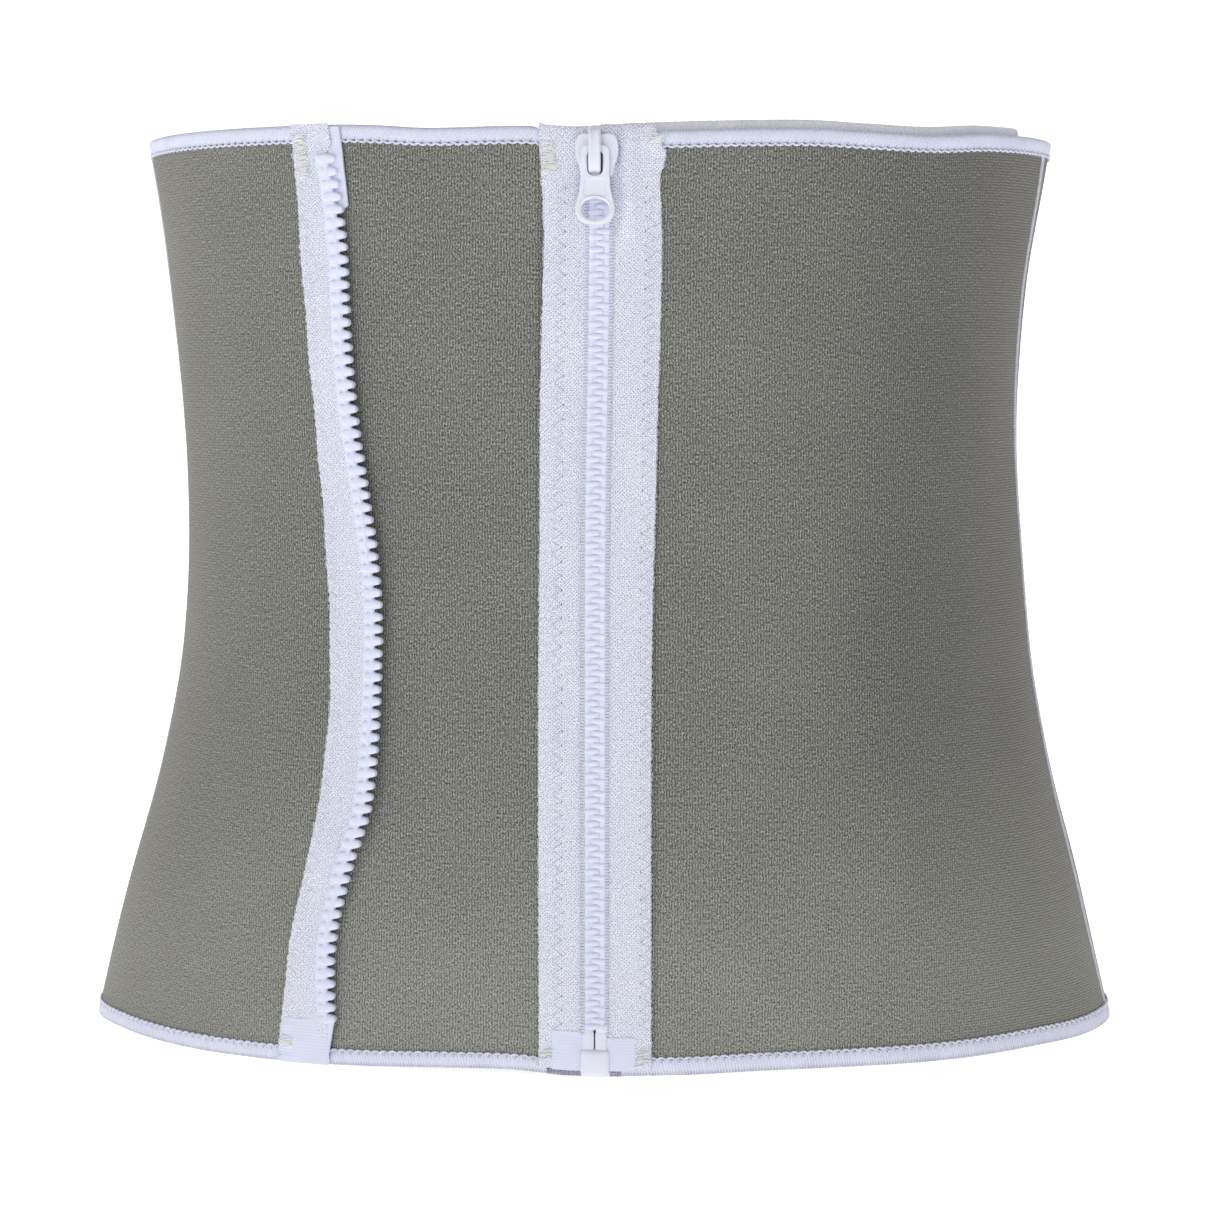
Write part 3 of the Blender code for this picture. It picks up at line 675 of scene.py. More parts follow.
def bead(piece, lengths, heights, normals, outer, deep, high=EDGING, lean=0.0):
    """Overlock thread wound over an edge, along a path of girth lengths and heights.

    normals point from the edge into the fabric; outer is the outer offset of the bead and deep its
    whole depth, from outer face to inner face.
    """
    run = np.concatenate(([0], np.cumsum(np.hypot(np.diff(lengths), np.diff(heights)))))
    c, s = circle(20)
    middle = outer - deep / 2
    in_fabric = high / 2 * (1 - bent(c, 0.62))
    phase = run[:, None] / STITCH + lean * (in_fabric / STITCH)[None]
    swell = np.abs(np.sin(math.pi * phase))
    inner_side = np.clip(in_fabric / high * 2 - 1, 0, 1)[None]
    depth_in = in_fabric[None] + (0.5 * MM * swell + 0.02 * MM) * inner_side
    fullness = 1 - 0.045 * (1 - swell) ** 1.5
    out = middle + deep / 2 * bent(s, 0.55)[None] * fullness
    spread = high / 2 + (depth_in - high / 2) * (1 - 0.03 * (1 - swell))
    girths = lengths[:, None] + normals[:, :1] * spread
    z = heights[:, None] + normals[:, 1:] * spread
    lay = flat_pattern(*np.broadcast_arrays(run[:, None], in_fabric[None] / high * EDGING))
    piece.grid(on_belt(angle_at(girths, z), z, out), lay)
    arch = np.abs(np.sin(math.pi * run / STITCH)) ** 0.8
    reach = high - 0.32 * MM + 0.62 * MM * arch
    girths = lengths + normals[:, 0] * reach
    z = heights + normals[:, 1] * reach
    for face in (outer - 0.08 * MM, outer - deep + 0.1 * MM):
        piece.tube(on_belt(angle_at(girths, z), z, face), 0.36 * MM, 6)


def straight_edge(start, end, height, towards):
    """A path along the belt's rim from one girth length to another."""
    count = max(2, round(abs(end - start) / STITCH)) * 8
    lengths = np.linspace(start, end, count + 1)
    ones = np.ones(len(lengths))
    return lengths, height * ones, np.stack((0 * ones, towards * ones), -1)


def make_edgings():
    """The thread along the belt's bottom and top rims, in three lengths each."""
    for rim, towards, look, slant in ((0.0, 1, OVERLOCK, 0.12), (PANEL_TOP, -1, OVERLOCK_TOP, 0.4)):
        end_name = "bottom" if towards > 0 else "top"
        spans = (
            ("left", back_angle(BACK_SEAM, rim) - 2 * math.pi, front_angle(-0.0155, rim), "left_half", True),
            ("right_front", front_angle(0.0068, rim), right_side(rim), "right_half", False),
            ("right_back", right_side(rim), back_angle(BACK_SEAM, rim), "right_half", True),
        )
        for side, start, end, body, hinge in spans:
            piece = Piece(f"overlock_{side}_{end_name}")
            path = straight_edge(girth(start, rim), girth(end, rim), rim, towards)
            high = EDGING + (0.7 * MM if towards > 0 and side != "left" else 0)
            bead(piece, *path, BEAD_FACE, BEAD_DEPTH, high, slant)
            node = f"{side.split('_')[0]}_{end_name}_edging"
            piece.made(look, "thread", body, node, hinge=hinge)


# ---------------------------------------------------------------- seams


def flatlock(name, middle, body, node, hinge=False):
    """A flat seam: a low ridge of thread under a cover stitch."""
    half = 1.35 * MM
    low, high = EDGING + 0.5 * MM, PANEL_TOP - EDGING - 0.5 * MM
    pitch = 1.8 * MM
    turn = half / (100 * MM)  # the angle of half the seam's width
    piece = Piece(name)
    heights = np.linspace(low, high, 540)
    across, share = rounded(-1, 1, 0.3, 0.5)

    def place(z, s):
        rib = 0.10 * MM * np.abs(np.sin(math.pi * z / pitch + s))
        return middle(z) + s * turn, z, 0.2 * MM + rib * (1 - s**2)

    sheet(piece, heights, across, share, place, 0.9 * MM)
    steps = np.arange(int((high - low) / (0.9 * MM)))
    z = low + 0.5 * MM + steps * 0.9 * MM
    swing = np.where(steps % 2, 0.85, -0.85)
    piece.tube(on_belt(middle(z) + swing * turn, z, 0.28 * MM), 0.16 * MM, 5)
    z = np.arange(low, high, 0.45 * MM)
    lift = 0.22 * MM + 0.1 * MM * np.abs(np.sin(math.pi * (z - low) / pitch))
    for line in (-0.8, 0.8):
        piece.tube(on_belt(middle(z) + line * turn, z, lift), 0.16 * MM, 5)
    piece.made(FLAT_THREAD, "thread", body, node, hinge=hinge)


def make_seams():
    flatlock("flatlock_right_side", right_side, "right_half", "right_side_seam")
    flatlock("flatlock_left_side", left_side, "left_half", "left_side_seam")
    flatlock(
        "flatlock_right_back", lambda z: back_angle(BACK_SEAM - 0.5 * MM, z), "left_half",
        "right_back_seam", hinge=True,
    )
    flatlock("flatlock_left_back", lambda z: back_angle(-BACK_SEAM, z), "left_half", "left_back_seam")


# ---------------------------------------------------------------- the guard behind the zip


def make_guard():
    """The sheet of neoprene that lies behind the zip, and the thread that binds its edges."""
    piece = Piece("guard_sheet")
    heights = np.linspace(0.2 * MM, UNDERLAP_TOP - 2.2 * MM, 141)
    across, share = rounded(0, 1, 1 / 60, 1.2 / 150)

    def place(z, s):
        start = front_angle(UNDERLAP_START, z)
        lift = 0.4 * MM * np.sin(9 * s + 20 * z) - 0.4 * MM
        return start + (UNDERLAP_END - start) * s, z, UNDERLAP_FACE + lift * s * (1 - s)

    sheet(piece, heights, across, share, place, UNDERLAP_THICKNESS)
    piece.made(KNIT, "neoprene", "left_half", "underlap")

    # the binding runs along the guard's top, round its corner and down its end
    corner, step = BINDING_CORNER, STITCH / 8
    start = girth(front_angle(BINDING_START, UNDERLAP_TOP), UNDERLAP_TOP)
    end = girth(BINDING_END, UNDERLAP_TOP)
    top = np.arange(start, end - corner, step)
    turn = np.radians(np.arange(90, 0, -90 * step / (corner * math.pi / 2)))[1:]
    down = np.arange(UNDERLAP_TOP - corner, 1.5 * MM, -step)
    c, s = np.cos(turn), np.sin(turn)
    sunk = 1.1 * MM * np.clip(1 - (top - start) / (30 * MM), 0, 1) ** 1.5  # towards the zip
    lengths = np.concatenate((top, end - corner + corner * c, end + 0 * down))
    z = np.concatenate((UNDERLAP_TOP - sunk, UNDERLAP_TOP - corner + corner * s, down))
    normals = -np.stack(
        (np.concatenate((0 * top, c, 1 + 0 * down)), np.concatenate((1 + 0 * top, s, 0 * down))), -1
    )
    # the end follows the same girth angle all the way down
    lengths = lengths + (girth(BINDING_END, z) - end) * (z < UNDERLAP_TOP - corner / 2)
    piece = Piece("guard_binding")
    face, depth = UNDERLAP_FACE + 0.3 * MM, UNDERLAP_THICKNESS + 0.6 * MM
    bead(piece, lengths, z, normals, face, depth, 4.6 * MM, 0.4)
    piece.made(OVERLOCK_GUARD_LIT, "thread", "left_half", "underlap_top_edging", "underlap_end_edging")


# ---------------------------------------------------------------- the centre zip


def bar_tack(piece, x, low, high, width, face, step, skew=0.0):
    """Close zigzag stitches that hold an end of tape; lengths in millimetres."""
    x, low, high, width, step = (value * MM for value in (x, low, high, width, step))
    count = int((high - low) / step)
    k = np.arange(count)
    jitter = rng.normal(0, 0.28, (2, count)) * MM
    z = low + k * step + jitter[0]
    across = np.where(k % 2, 0.5, -0.5) * width + x + jitter[1] + skew * (z - low)
    fine = np.linspace(0, count - 1, 4 * count)
    xs, zs = np.interp(fine, k, across), np.interp(fine, k, z)
    arch = 0.12 * MM * np.abs(np.sin(math.pi * (fine % 1)))
    piece.thread(xs, zs, face(xs, zs) + arch, 0.25 * MM)


def zigzag(piece, inner, outer, low, high, pitch, face):
    """A row of zigzag stitches between two lines up the belt."""
    count = int((high - low) / pitch * 2)
    k = np.arange(count)
    z = low + k * pitch / 2
    x = np.where(k % 2, inner(z), outer(z))
    fine = np.linspace(0, count - 1, 6 * count)
    xs, zs = np.interp(fine, k, x), np.interp(fine, k, z)
    sink = 0.22 * MM * (np.abs((fine % 1) - 0.5) * 2) ** 3
    piece.thread(xs, zs, face(xs, zs) - sink, 0.13 * MM)


def knot(piece, x, z, face):
    """A dark dot of painted shade where a needle thread goes down into the tape."""
    tall = rng.uniform(0.16, 0.34) * MM
    zs = z + np.linspace(-tall, tall, 4)
    xs = np.full(4, x) + rng.normal(0, 0.1) * MM
    piece.thread(xs, zs, face(xs, zs) + 0.02 * MM, 0.15 * MM)


def left_face(x, z):
    """The left tape's outer face: flat on the neoprene, lower by the chain, rumpled a little."""
    away = -x / MM
    groove = -0.35 * np.exp(-(((away - 4.9) / 0.9) ** 2))
    rumple = 0.10 * np.sin(z / MM / 7.3 + 1) * np.sin(x / MM / 3 + z / MM / 19)
    return TAPE_FACE + (groove + rumple + wavy_edge(away, z, 0.10, 1.9) + over_top(z)) * MM


def wavy_edge(away, z, size, pace):
    """A tape sinks towards its far edge, which waves; in millimetres."""
    wave = size * np.sin(z / MM * pace)
    return -0.15 * np.clip((away - 14) / 4, 0, 1) + wave * np.clip(away / 6 - 2, 0, 1)


def over_top(z):
    """The tapes end over the belt's top edge, so they rise over its bead."""
    return 0.35 / (1 + np.exp(-(z / MM - 275.5) / 0.7)) - 1.8 * np.clip((z / MM - 280.4) / 3.0, 0, 1) ** 2


def right_face(x, z):
    """The right tape bulges beside the slider and has a fold that runs down from it."""
    away = x / MM
    high = np.clip((z / MM - 246) / 14, 0, 1)
    bulge = 1.7 * np.exp(-(((away - 9.6 + 0.4 * high) / 2.6) ** 2)) * high**1.5
    crease = -0.75 * np.exp(-(((away - 5.8) / 1.2) ** 2)) * high
    groove = -0.15 * np.exp(-(((away - 5.0) / 0.8) ** 2))
    rumple = 0.10 * np.sin(z / MM / 8.1 + 2) * np.sin(x / MM / 3.4 - z / MM / 23)
    folds = bulge + crease + groove
    return TAPE_FACE + (folds + rumple + wavy_edge(away, z, 0.12, 1.7) + over_top(z)) * MM


TAPE_EDGES = MM * np.array((  # height, far edge of the left tape, far edge of the right tape
    (0, -17.7, 15.8), (110, -17.7, 15.7), (140, -17.4, 16.0), (170, -17.1, 16.8), (200, -16.9, 17.5),
    (225, -16.3, 18.3), (250, -15.7, 18.6), (268, -16.5, 18.0), (283, -17.3, 17.6),
))
EAR = (  # height and how far the right tape's frayed corner sticks out, in millimetres
    (266.5, 0.0), (268.2, 0.2), (269.6, 1.2), (271.0, 1.3), (272.8, 2.1), (274.4, 1.9), (276.0, 0.7),
    (277.4, 0.6), (279.0, -0.6), (281.0, -0.9),
)


def tape_edge(z, sign):
    """The tape's far edge: it drifts a little along the zip and frays."""
    edge = smooth_through(TAPE_EDGES[:, (0, 1 if sign < 0 else 2)], z)
    if sign > 0:
        heights, ear = zip(*EAR)
        edge = edge + np.interp(z / MM, heights, ear) * MM
    return edge + sign * frayed(z, sign) * MM


def frayed(z, seed):
    """A woven edge waves with its loops of weft; in millimetres."""
    return 0.10 * np.abs(np.sin(z / MM * 2.1 + seed)) + 0.07 * np.sin(z / MM * 0.63 + 2 * seed)


def fringe(piece, edge, low, high, face, sign):
    """Loops of weft that stick out of a tape's edge here and there."""
    pitch = 1.5 * MM
    turn = np.linspace(0, math.pi, 6)
    for k in range(int((high - low) / pitch)):
        z = low + (k + rng.uniform(-0.35, 0.35)) * pitch
        reach, tall = rng.uniform(0.15, 0.6) * MM, rng.uniform(0.35, 0.8) * MM
        zs = z + tall * np.cos(turn) + 0.3 * reach * np.sin(turn)
        xs = edge(zs) + sign * (reach * np.sin(turn) - 0.15 * MM)
        out = face(xs, zs) - TAPE / 2 + rng.uniform(-0.2, 0.25) * MM
        piece.thread(xs, zs, out, 0.1 * MM, 4)


def make_woven_tape(side, sign, face):
    def near(z):
        """The tapes' ends close over the slider's rest."""
        return sign * np.interp(z / MM, (277.6, 279.4), (TAPE_INNER / MM, 0.15)) * MM + sway(z)

    piece = Piece(f"woven_tape_{side}")
    top = TAPE_TOP_LEFT if sign < 0 else TAPE_TOP_RIGHT
    band(
        piece, TAPE_BOTTOM, top, near, lambda z: tape_edge(z, sign), lambda x, z, s: face(x, z), TAPE,
        (0.45 * MM, 0.45 * MM),
    )
    piece.made(TAPE_LOOK, "zip_tape", f"{side}_half", f"{side}_tape")


def make_tape_cord(side, sign):
    """The cord at the tape's near edge, bound by the weft."""
    piece = Piece(f"tape_cord_{side}")
    heights = np.arange(CHAIN_BOTTOM, CHAIN_TOP, 0.15 * MM)
    beat = np.abs(np.sin(math.pi * heights / CORD_LOOP)) ** 0.5
    across, share = rounded(0, 1, 1 / 6, 0.35)

    def place(z, s):
        ridge = np.interp(z, heights, beat)
        x = sign * (2.75 + (1.2 + 0.4 * ridge) * s) * MM + sway(z)
        return front_angle(x, z), z, TAPE_FACE + (0.3 + 0.42 * ridge) * MM

    sheet(piece, heights, across, share, place, 1.3 * MM)
    piece.made(CORD, "zip_tape", f"{side}_half")


def make_tape_fray(side, sign, face):
    piece = Piece(f"frayed_weft_{side}")
    fringe(piece, lambda z: tape_edge(z, sign), 3 * MM, 282 * MM, face, sign)
    piece.made(TWIST, "zip_tape", f"{side}_half")


def make_tape_stitching(side, sign, face):
    """The zigzag that holds a tape down, in a darker thread for painted shade, and dark dots for the painted
    shade of its needle holes.
    """
    stitches, holes = Piece(f"tape_stitching_{side}"), Piece(f"needle_holes_{side}")
    inner, outer = map(beside_zip, (-9.9, -12.9) if sign < 0 else (13.5, 16.8))
    low, high, pitch = 14 * MM, 268 * MM, 4.2 * MM
    zigzag(stitches, inner, outer, low, high, pitch, lambda x, z: face(x, z) + 0.02 * MM)
    stitches.made(SHADED_SEWING_THREAD, "thread", f"{side}_half")
    for z in np.arange(low + pitch / 2, high, pitch):
        knot(holes, inner(z), z, face)
    holes.made(NEEDLE_HOLE_SHADE, "thread", f"{side}_half")


def make_tape_tacks(side, sign, face):
    def lifted(x, z):
        return face(x, z) + 0.14 * MM

    tacks = Piece(f"bar_tacks_{side}")
    if sign < 0:
        bar_tack(tacks, -13.8, 268.0, 277.8, 4.6, lifted, 0.44, -0.1)
        bar_tack(tacks, -15.6, 5.0, 8.8, 3.6, lifted, 0.6)
    else:
        bar_tack(tacks, 16.9, 276.6, 280.2, 4.2, lifted, 0.46)
        bar_tack(tacks, 12.8, 3.6, 9.6, 4.4, lifted, 0.6, 0.25)
    tacks.made(CREAM, "thread", f"{side}_half")


def make_zip_tapes():
    for side, sign, face in (("left", -1, left_face), ("right", 1, right_face)):
        make_woven_tape(side, sign, face)
        make_tape_cord(side, sign)
        make_tape_fray(side, sign, face)
        make_tape_stitching(side, sign, face)
        make_tape_tacks(side, sign, face)


def make_films():
    """The stiff film over the bottom end of each tape."""
    for side, sign, face, top, wide in (
        ("left", -1, left_face, 14.0, 13.0), ("right", 1, right_face, 12.2, 12.0)
    ):
        piece = Piece(f"end_film_{side}")
        band(
            piece, 2.1 * MM, top * MM, beside_zip(sign * 3.2), beside_zip(sign * wide),
            lambda x, z, s: face(x, z) + 0.22 * MM, 0.5 * MM, (0.6 * MM, 0.5 * MM), 0.2 * MM,
        )
        piece.made(FILM, "film", f"{side}_half", f"{side}_film")


def tooth(piece, x0, x1, z, middle, profile, deep, square, swaying=False):
    """One moulded tooth from its foot at x0 to its tip at x1, with a superellipse section.

    profile is (share of the length, half height, share of the depth).
    """
    shares, halves, depths = np.array(profile).T
    along = np.concatenate((np.linspace(0, 0.12, 3)[:-1], np.linspace(0.12, 0.8, 7)[:-1],
                            0.8 + 0.2 * np.sin(np.linspace(0, math.pi / 2, 5))))
    half = np.interp(along, shares, halves) * MM
    depth = np.interp(along, shares, depths) * deep / 2
    c, s = circle(12)
    zz = z + half[:, None] * bent(c, square)[None]
    out = middle + depth[:, None] * bent(s, square)[None]
    x = np.broadcast_to((x0 + (x1 - x0) * along)[:, None], zz.shape) + (sway(zz) if swaying else 0)
    piece.grid(on_belt(front_angle(x, zz), zz, out), flat_pattern(x, zz))


TOOTH_PROFILE = (  # share of the length, half height in millimetres, share of the depth
    (0.0, 0.5, 0.6), (0.07, 0.84, 0.9), (0.16, 0.9, 1.0), (0.5, 0.9, 1.0), (0.66, 0.9, 0.98),
    (0.83, 0.86, 0.95), (0.92, 0.66, 0.9), (1.0, 0.3, 0.75),
)


def make_centre_teeth():
    """The teeth of both halves, one row half a pitch above the other."""
    for side, sign in (("left", -1), ("right", 1)):
        piece = Piece(f"moulded_teeth_{side}")
        first = TEETH_BOTTOM + (TOOTH_PITCH / 2 if sign > 0 else 0)
        for k in range(TEETH_COUNT):
            z = first + k * TOOTH_PITCH
            tip = -sign * (1.35 if sign < 0 else 1.0) * MM
            foot, middle = sign * 3.2 * MM, TOOTH_MIDDLE + 0.15 * MM
            tooth(piece, foot, tip, z, middle, TOOTH_PROFILE, 2.5 * MM, 0.5, swaying=True)
        # the moulded feet sit on the tape's edge
        heights = np.linspace(first - 1.2 * MM, first + (TEETH_COUNT - 1) * TOOTH_PITCH + 1.2 * MM, 540)
        across, share = rounded(0, 1, 0.06, 0.05)

        def place(z, s):
            x = sign * (0.02 + 3.0 * s) * MM + sway(z)
            step = 0.35 / (1 + np.exp((1.55 - 0.02 - 3.0 * s) / 0.06))
            return front_angle(x, z), z, TOOTH_MIDDLE + (0.78 + step) * MM

        sheet(piece, heights, across, share, place, 1.2 * MM)
        piece.made(TOOTH, "teeth", f"{side}_half", f"{side}_teeth")


def block(piece, x, z, out, soft=0.5, taper=0.0, columns=14):
    """A moulded block at the zip with rounded edges.

    x, z and out are its ranges in millimetres: across, in height and outwards.
    """
    c, s = circle(columns)
    rise = bent(np.sin(np.linspace(-math.pi / 2, math.pi / 2, 11) * 0.93), 0.55)
    rim = (1 - np.abs(rise) ** (2 / soft)) ** (soft / 2)
    rim = np.maximum(rim, 0.35)
    low, high = np.array((x, z, out)).T * MM
    (middle_x, middle_z, middle_o), (half_x, half_z, half_o) = (low + high) / 2, (high - low) / 2
    zz = np.broadcast_to((middle_z + half_z * rise)[:, None], (len(rise), columns))
    lean = 1 + taper * rise[:, None]
    edge = half_x - np.minimum(half_x, half_o) * (1 - rim[:, None])
    edge_o = half_o - np.minimum(half_x, half_o) * (1 - rim[:, None])
    xx = middle_x + edge * lean * bent(c, 0.45)[None] + sway(zz)
    oo = middle_o + edge_o * bent(s, 0.45)[None]
    piece.grid(on_belt(front_angle(xx, zz), zz, oo), flat_pattern(xx, zz))


def make_zip_bottom():
    """The pins and the box that join the zip's halves, and the raw ends of the neoprene beside them."""
    pin = Piece("insertion_pin_moulded")
    block(pin, (-3.7, -0.22), (2.2, 14.8), (-0.6, 1.95), 0.4)
    pin.made(PLASTIC, "teeth", "left_half", "insertion_pin")
    pin = Piece("retainer_pin_moulded")
    block(pin, (0.05, 3.6), (6.5, 14.6), (-0.6, 2.1), 0.4)
    block(pin, (0.2, 3.8), (13.9, 16.5), (-0.5, 2.2))
    pin.made(PLASTIC, "teeth", "right_half", "retainer_pin")
    for side, sign, near, far in (("left", -1, 3.4, 15.6), ("right", 1, 3.4, 7.2)):
        raw = Piece(f"raw_hem_{side}")
        band(
            raw, 0.15 * MM, 3.4 * MM, lambda z: sign * near * MM, lambda z: sign * far * MM,
            lambda x, z, s: -0.2 * MM + 0.1 * MM * np.sin(x / MM), 2.4 * MM, (0.4 * MM, 0.5 * MM),
        )
        raw.made(RAW, "neoprene", f"{side}_half")
    box = Piece("retainer_box_moulded")
    block(box, (-4.3, 4.3), (0.1, 8.8), (-1.6, 2.9), 0.35, taper=0.01, columns=24)
    box.made(PLASTIC, "teeth", "right_half", "retainer_box")


# ---------------------------------------------------------------- slider and pull


def plate(rings, thickness, soft, place):
    """A rounded plate from flat rings of points in X and Z, as a mesh at the zip."""
    curve = bpy.data.curves.new("plate", "CURVE")
    curve.dimensions = "2D"
    curve.fill_mode = "BOTH"
    curve.extrude = thickness / 2 - soft
    curve.bevel_depth = soft
    curve.bevel_resolution = 3
    curve.offset = -soft
    for ring in rings:
        spline = curve.splines.new("POLY")
        spline.points.add(len(ring) - 1)
        spline.use_cyclic_u = True
        for point, (x, z) in zip(spline.points, ring):
            point.co = (x, z, 0, 1)
    source = placed("plate", curve)
    mesh = bpy.data.meshes.new_from_object(source.evaluated_get(bpy.context.evaluated_depsgraph_get()))
    bpy.data.objects.remove(source)
    bpy.data.curves.remove(curve)
    shape = bmesh.new()
    shape.from_mesh(mesh)
    bpy.data.meshes.remove(mesh)
    bmesh.ops.remove_doubles(shape, verts=shape.verts, dist=0.004 * MM)
    for vert in shape.verts:
        x, z, out = vert.co
        vert.co = place(x, z, out)
    return shape


def joined(name, shapes):
    """Several bmesh shapes as one mesh object, with a flat pattern for its material."""
    mesh = bpy.data.meshes.new(name)
    whole = bmesh.new()
    for shape in shapes:
        shape.to_mesh(mesh)
        shape.free()
        whole.from_mesh(mesh)
    bmesh.ops.recalc_face_normals(whole, faces=whole.faces)
    lay = whole.loops.layers.uv.new("lay")
    for face in whole.faces:
        for loop in face.loops:
            loop[lay].uv = (loop.vert.co.x + loop.vert.co.y, loop.vert.co.z)
    whole.to_mesh(mesh)
    whole.free()
    mesh.shade_smooth()
    mesh.set_sharp_from_angle(angle=math.radians(42))
    return placed(name, mesh)


def out_of_zip(x, z, out):
    """A place in front of the zip: out is the distance from the neoprene's outer face."""
    return Vector((x, ZIP_Y - out, z))


def smooth_ring(points):
    """A closed ring round corner points in millimetres, rounded by three passes of corner cutting."""
    ring = np.array(points, float) * MM
    for _ in range(3):
        after = np.roll(ring, -1, 0)
        ring = np.stack((ring * 0.75 + after * 0.25, ring * 0.25 + after * 0.75), 1).reshape(-1, 2)
    return [tuple(p) for p in ring]


def oval(middle, radii, count=36):
    turn = np.arange(count) / count * 2 * math.pi
    return list(zip(middle[0] + radii[0] * np.cos(turn), middle[1] + radii[1] * np.sin(turn)))


SLIDER_DRIFT = -0.3 * MM  # the slider sits a little to the left


def make_slider_shell():
    """Two shouldered plates, one before and one behind the chain, and the rims between them."""
    shoulder = smooth_ring([
        (-6.3, 273.2), (-6.35, 277.6), (-4.6, 280), (0, 279.2), (4.6, 280), (6.35, 277.6), (6.3, 273.2),
        (4.9, 269.8), (4.6, 267), (-4.6, 267), (-4.9, 269.8),
    ])

    def crowned(middle_out):
        def place(x, z, out):
            crown = 0.35 * MM * (1 - (x / (6.4 * MM)) ** 2) if out > 0 else 0
            return out_of_zip(x + SLIDER_DRIFT, z, middle_out + out + crown)
        return place

    shapes = [
        plate([shoulder], 1.15 * MM, 0.45 * MM, crowned(2.75 * MM)),
        plate([shoulder], 1.0 * MM, 0.4 * MM, crowned(-1.35 * MM)),
    ]
    for sign in (-1, 1):  # the rims that turn in round the tapes
        rim = smooth_ring((sign, 1) * np.array((
            (4.75, 267.4), (5, 270), (6.2, 273.8), (6, 278.2), (5, 278), (4.9, 273.6), (3.9, 269.5),
            (3.9, 267.4),
        )))
        shapes.append(plate([rim], 1.3 * MM, 0.3 * MM, crowned(1.95 * MM)))
    dress(joined("slider_shell", shapes), PLASTIC, "slider", "slider", "slider_body")


def make_slider_bridge():
    """A ribbed strap that arches from the shell's foot to its top."""
    bridge = Piece("slider_bridge")
    turn = np.linspace(-math.pi / 2, math.pi / 2, 26)
    low, high = 268.1 * MM, 281.7 * MM
    middle, reach = (low + high) / 2, (high - low) / 2 - 0.55 * MM
    root, crest = 2.6 * MM, 6.35 * MM
    out = root + (crest - root) * np.abs(np.cos(turn)) ** 0.55
    path = np.stack((middle + reach * bent(np.sin(turn), 0.75), out), -1)
    heading = np.gradient(path, axis=0)
    heading /= np.linalg.norm(heading, axis=1, keepdims=True)
    outwards = np.stack((heading[:, 1], -heading[:, 0]), -1)
    outwards *= np.sign((outwards * (path - (middle, root))).sum(1, keepdims=True) + 1e-9)
    c, s = circle(28)
    x = 1.8 * MM * bent(c, 0.5)
    ribs = 0.16 * MM * np.cos(2 * math.pi * x / (1.2 * MM)) * (s > 0)
    up = 0.55 * MM * bent(s, 0.6) + ribs
    zz = path[:, :1] + outwards[:, :1] * up[None]
    oo = path[:, 1:] + outwards[:, 1:] * up[None]
    xx = np.broadcast_to(x[None] - 0.9 * MM, zz.shape)
    bridge.grid(np.stack((xx, ZIP_Y - oo, zz), -1), flat_pattern(xx, zz))
    bridge.made(PLASTIC, "slider", "slider")


def make_slider_slot_shade():
    """A dark tube that paints the shade in the deep slot beside the bridge, where the slider's lock sits."""
    shade_tube = Piece("slider_slot_shade")
    heights = np.linspace(267.4 * MM, 274.9 * MM, 12)
    path = [(1.35 * MM + SLIDER_DRIFT, ZIP_Y - 3.62 * MM, height) for height in heights]
    shade_tube.tube(path, 0.36 * MM, 8)
    shade_tube.made(SLOT_SHADE, "slider", "slider")


def make_pull():
    """The pull hangs flat from the bridge: a slotted neck, a sunk panel and a ring with a raised rim."""
    drift, lift, middle_out = -0.75 * MM, 0.7 * MM, 4.56 * MM

    def place_at(out_middle):
        return lambda x, z, out: out_of_zip(x + drift, z + lift, out_middle + out)

    outline = smooth_ring([
        (-4.1, 275.4), (-4.15, 271), (-4.15, 266.5), (-4.5, 262.6), (-5.3, 259.6), (-5.75, 257),
        (-5.2, 254.2), (-3.4, 252.9), (0, 252.4), (3.4, 252.9), (5.2, 254.4), (5.75, 257), (5.3, 259.6),
        (4.5, 262.6), (4.15, 266.5), (4.15, 271), (4.1, 275.4), (0, 275.5),
    ])
    slot = smooth_ring([
        (-2.35, 274), (-2.35, 270), (-2.3, 267.6), (-1, 266.6), (1, 266.6), (2.3, 267.6), (2.35, 270),
        (2.35, 274),
    ])
    hole = oval((0, 256.95 * MM), (4.2 * MM, 3.05 * MM))
    window = smooth_ring([
        (-3.1, 265.6), (-3.3, 263), (-3.6, 260.6), (0, 260.2), (3.6, 260.6), (3.3, 263), (3.1, 265.6),
        (0, 265.7),
    ])
    base = plate([outline, slot, hole], 1.1 * MM, 0.3 * MM, place_at(middle_out - 0.2 * MM))
    frame_top = plate([outline, slot, hole, window], 0.7 * MM, 0.22 * MM, place_at(middle_out + 0.42 * MM))
    lip = Piece("pull_lip")
    rim = np.array(oval((0, 256.95 * MM), (4.85 * MM, 3.7 * MM), 48))
    path = np.stack((rim[:, 0] + drift, ZIP_Y - middle_out - 0.62 * MM + 0 * rim[:, 0], rim[:, 1] + lift), -1)
    lip.tube(path, 0.34 * MM, 8, closed=True)
    body = joined("pull_tab_moulded", [base, frame_top])
    dress(body, PLASTIC, "slider", "pull", "pull_tab")
    lip.made(PLASTIC, "slider", "pull")


# ---------------------------------------------------------------- the spare row of teeth


def spare_edge(height):
    return smooth_through(SPARE_EDGE, np.asarray(height, float))


def spare_lift(z):
    """The row is sewn along its far side only, so its teeth stand off the belt."""
    arch = 2.3 * np.sin(math.pi * np.clip(z / PANEL_TOP, 0, 1))
    z = z / MM
    return (0.9 + arch + 0.25 * np.sin(z / 11) * np.clip(z / 60, 0, 1)) * MM


def spare_face(x, z, s):
    free = np.clip((s - 0.42) / 0.58, 0, 1)
    pucker = 0.12 * MM * np.sin(z / MM * 2 * math.pi / 5.2) * np.clip(1 - s * 3, 0, 1)
    rumple = 0.12 * MM * np.sin(z / MM / 6.1) * np.sin(5 * s + z / MM / 17)
    return TAPE_FACE + spare_lift(z) * free**1.8 + pucker + rumple + over_top(z) * MM


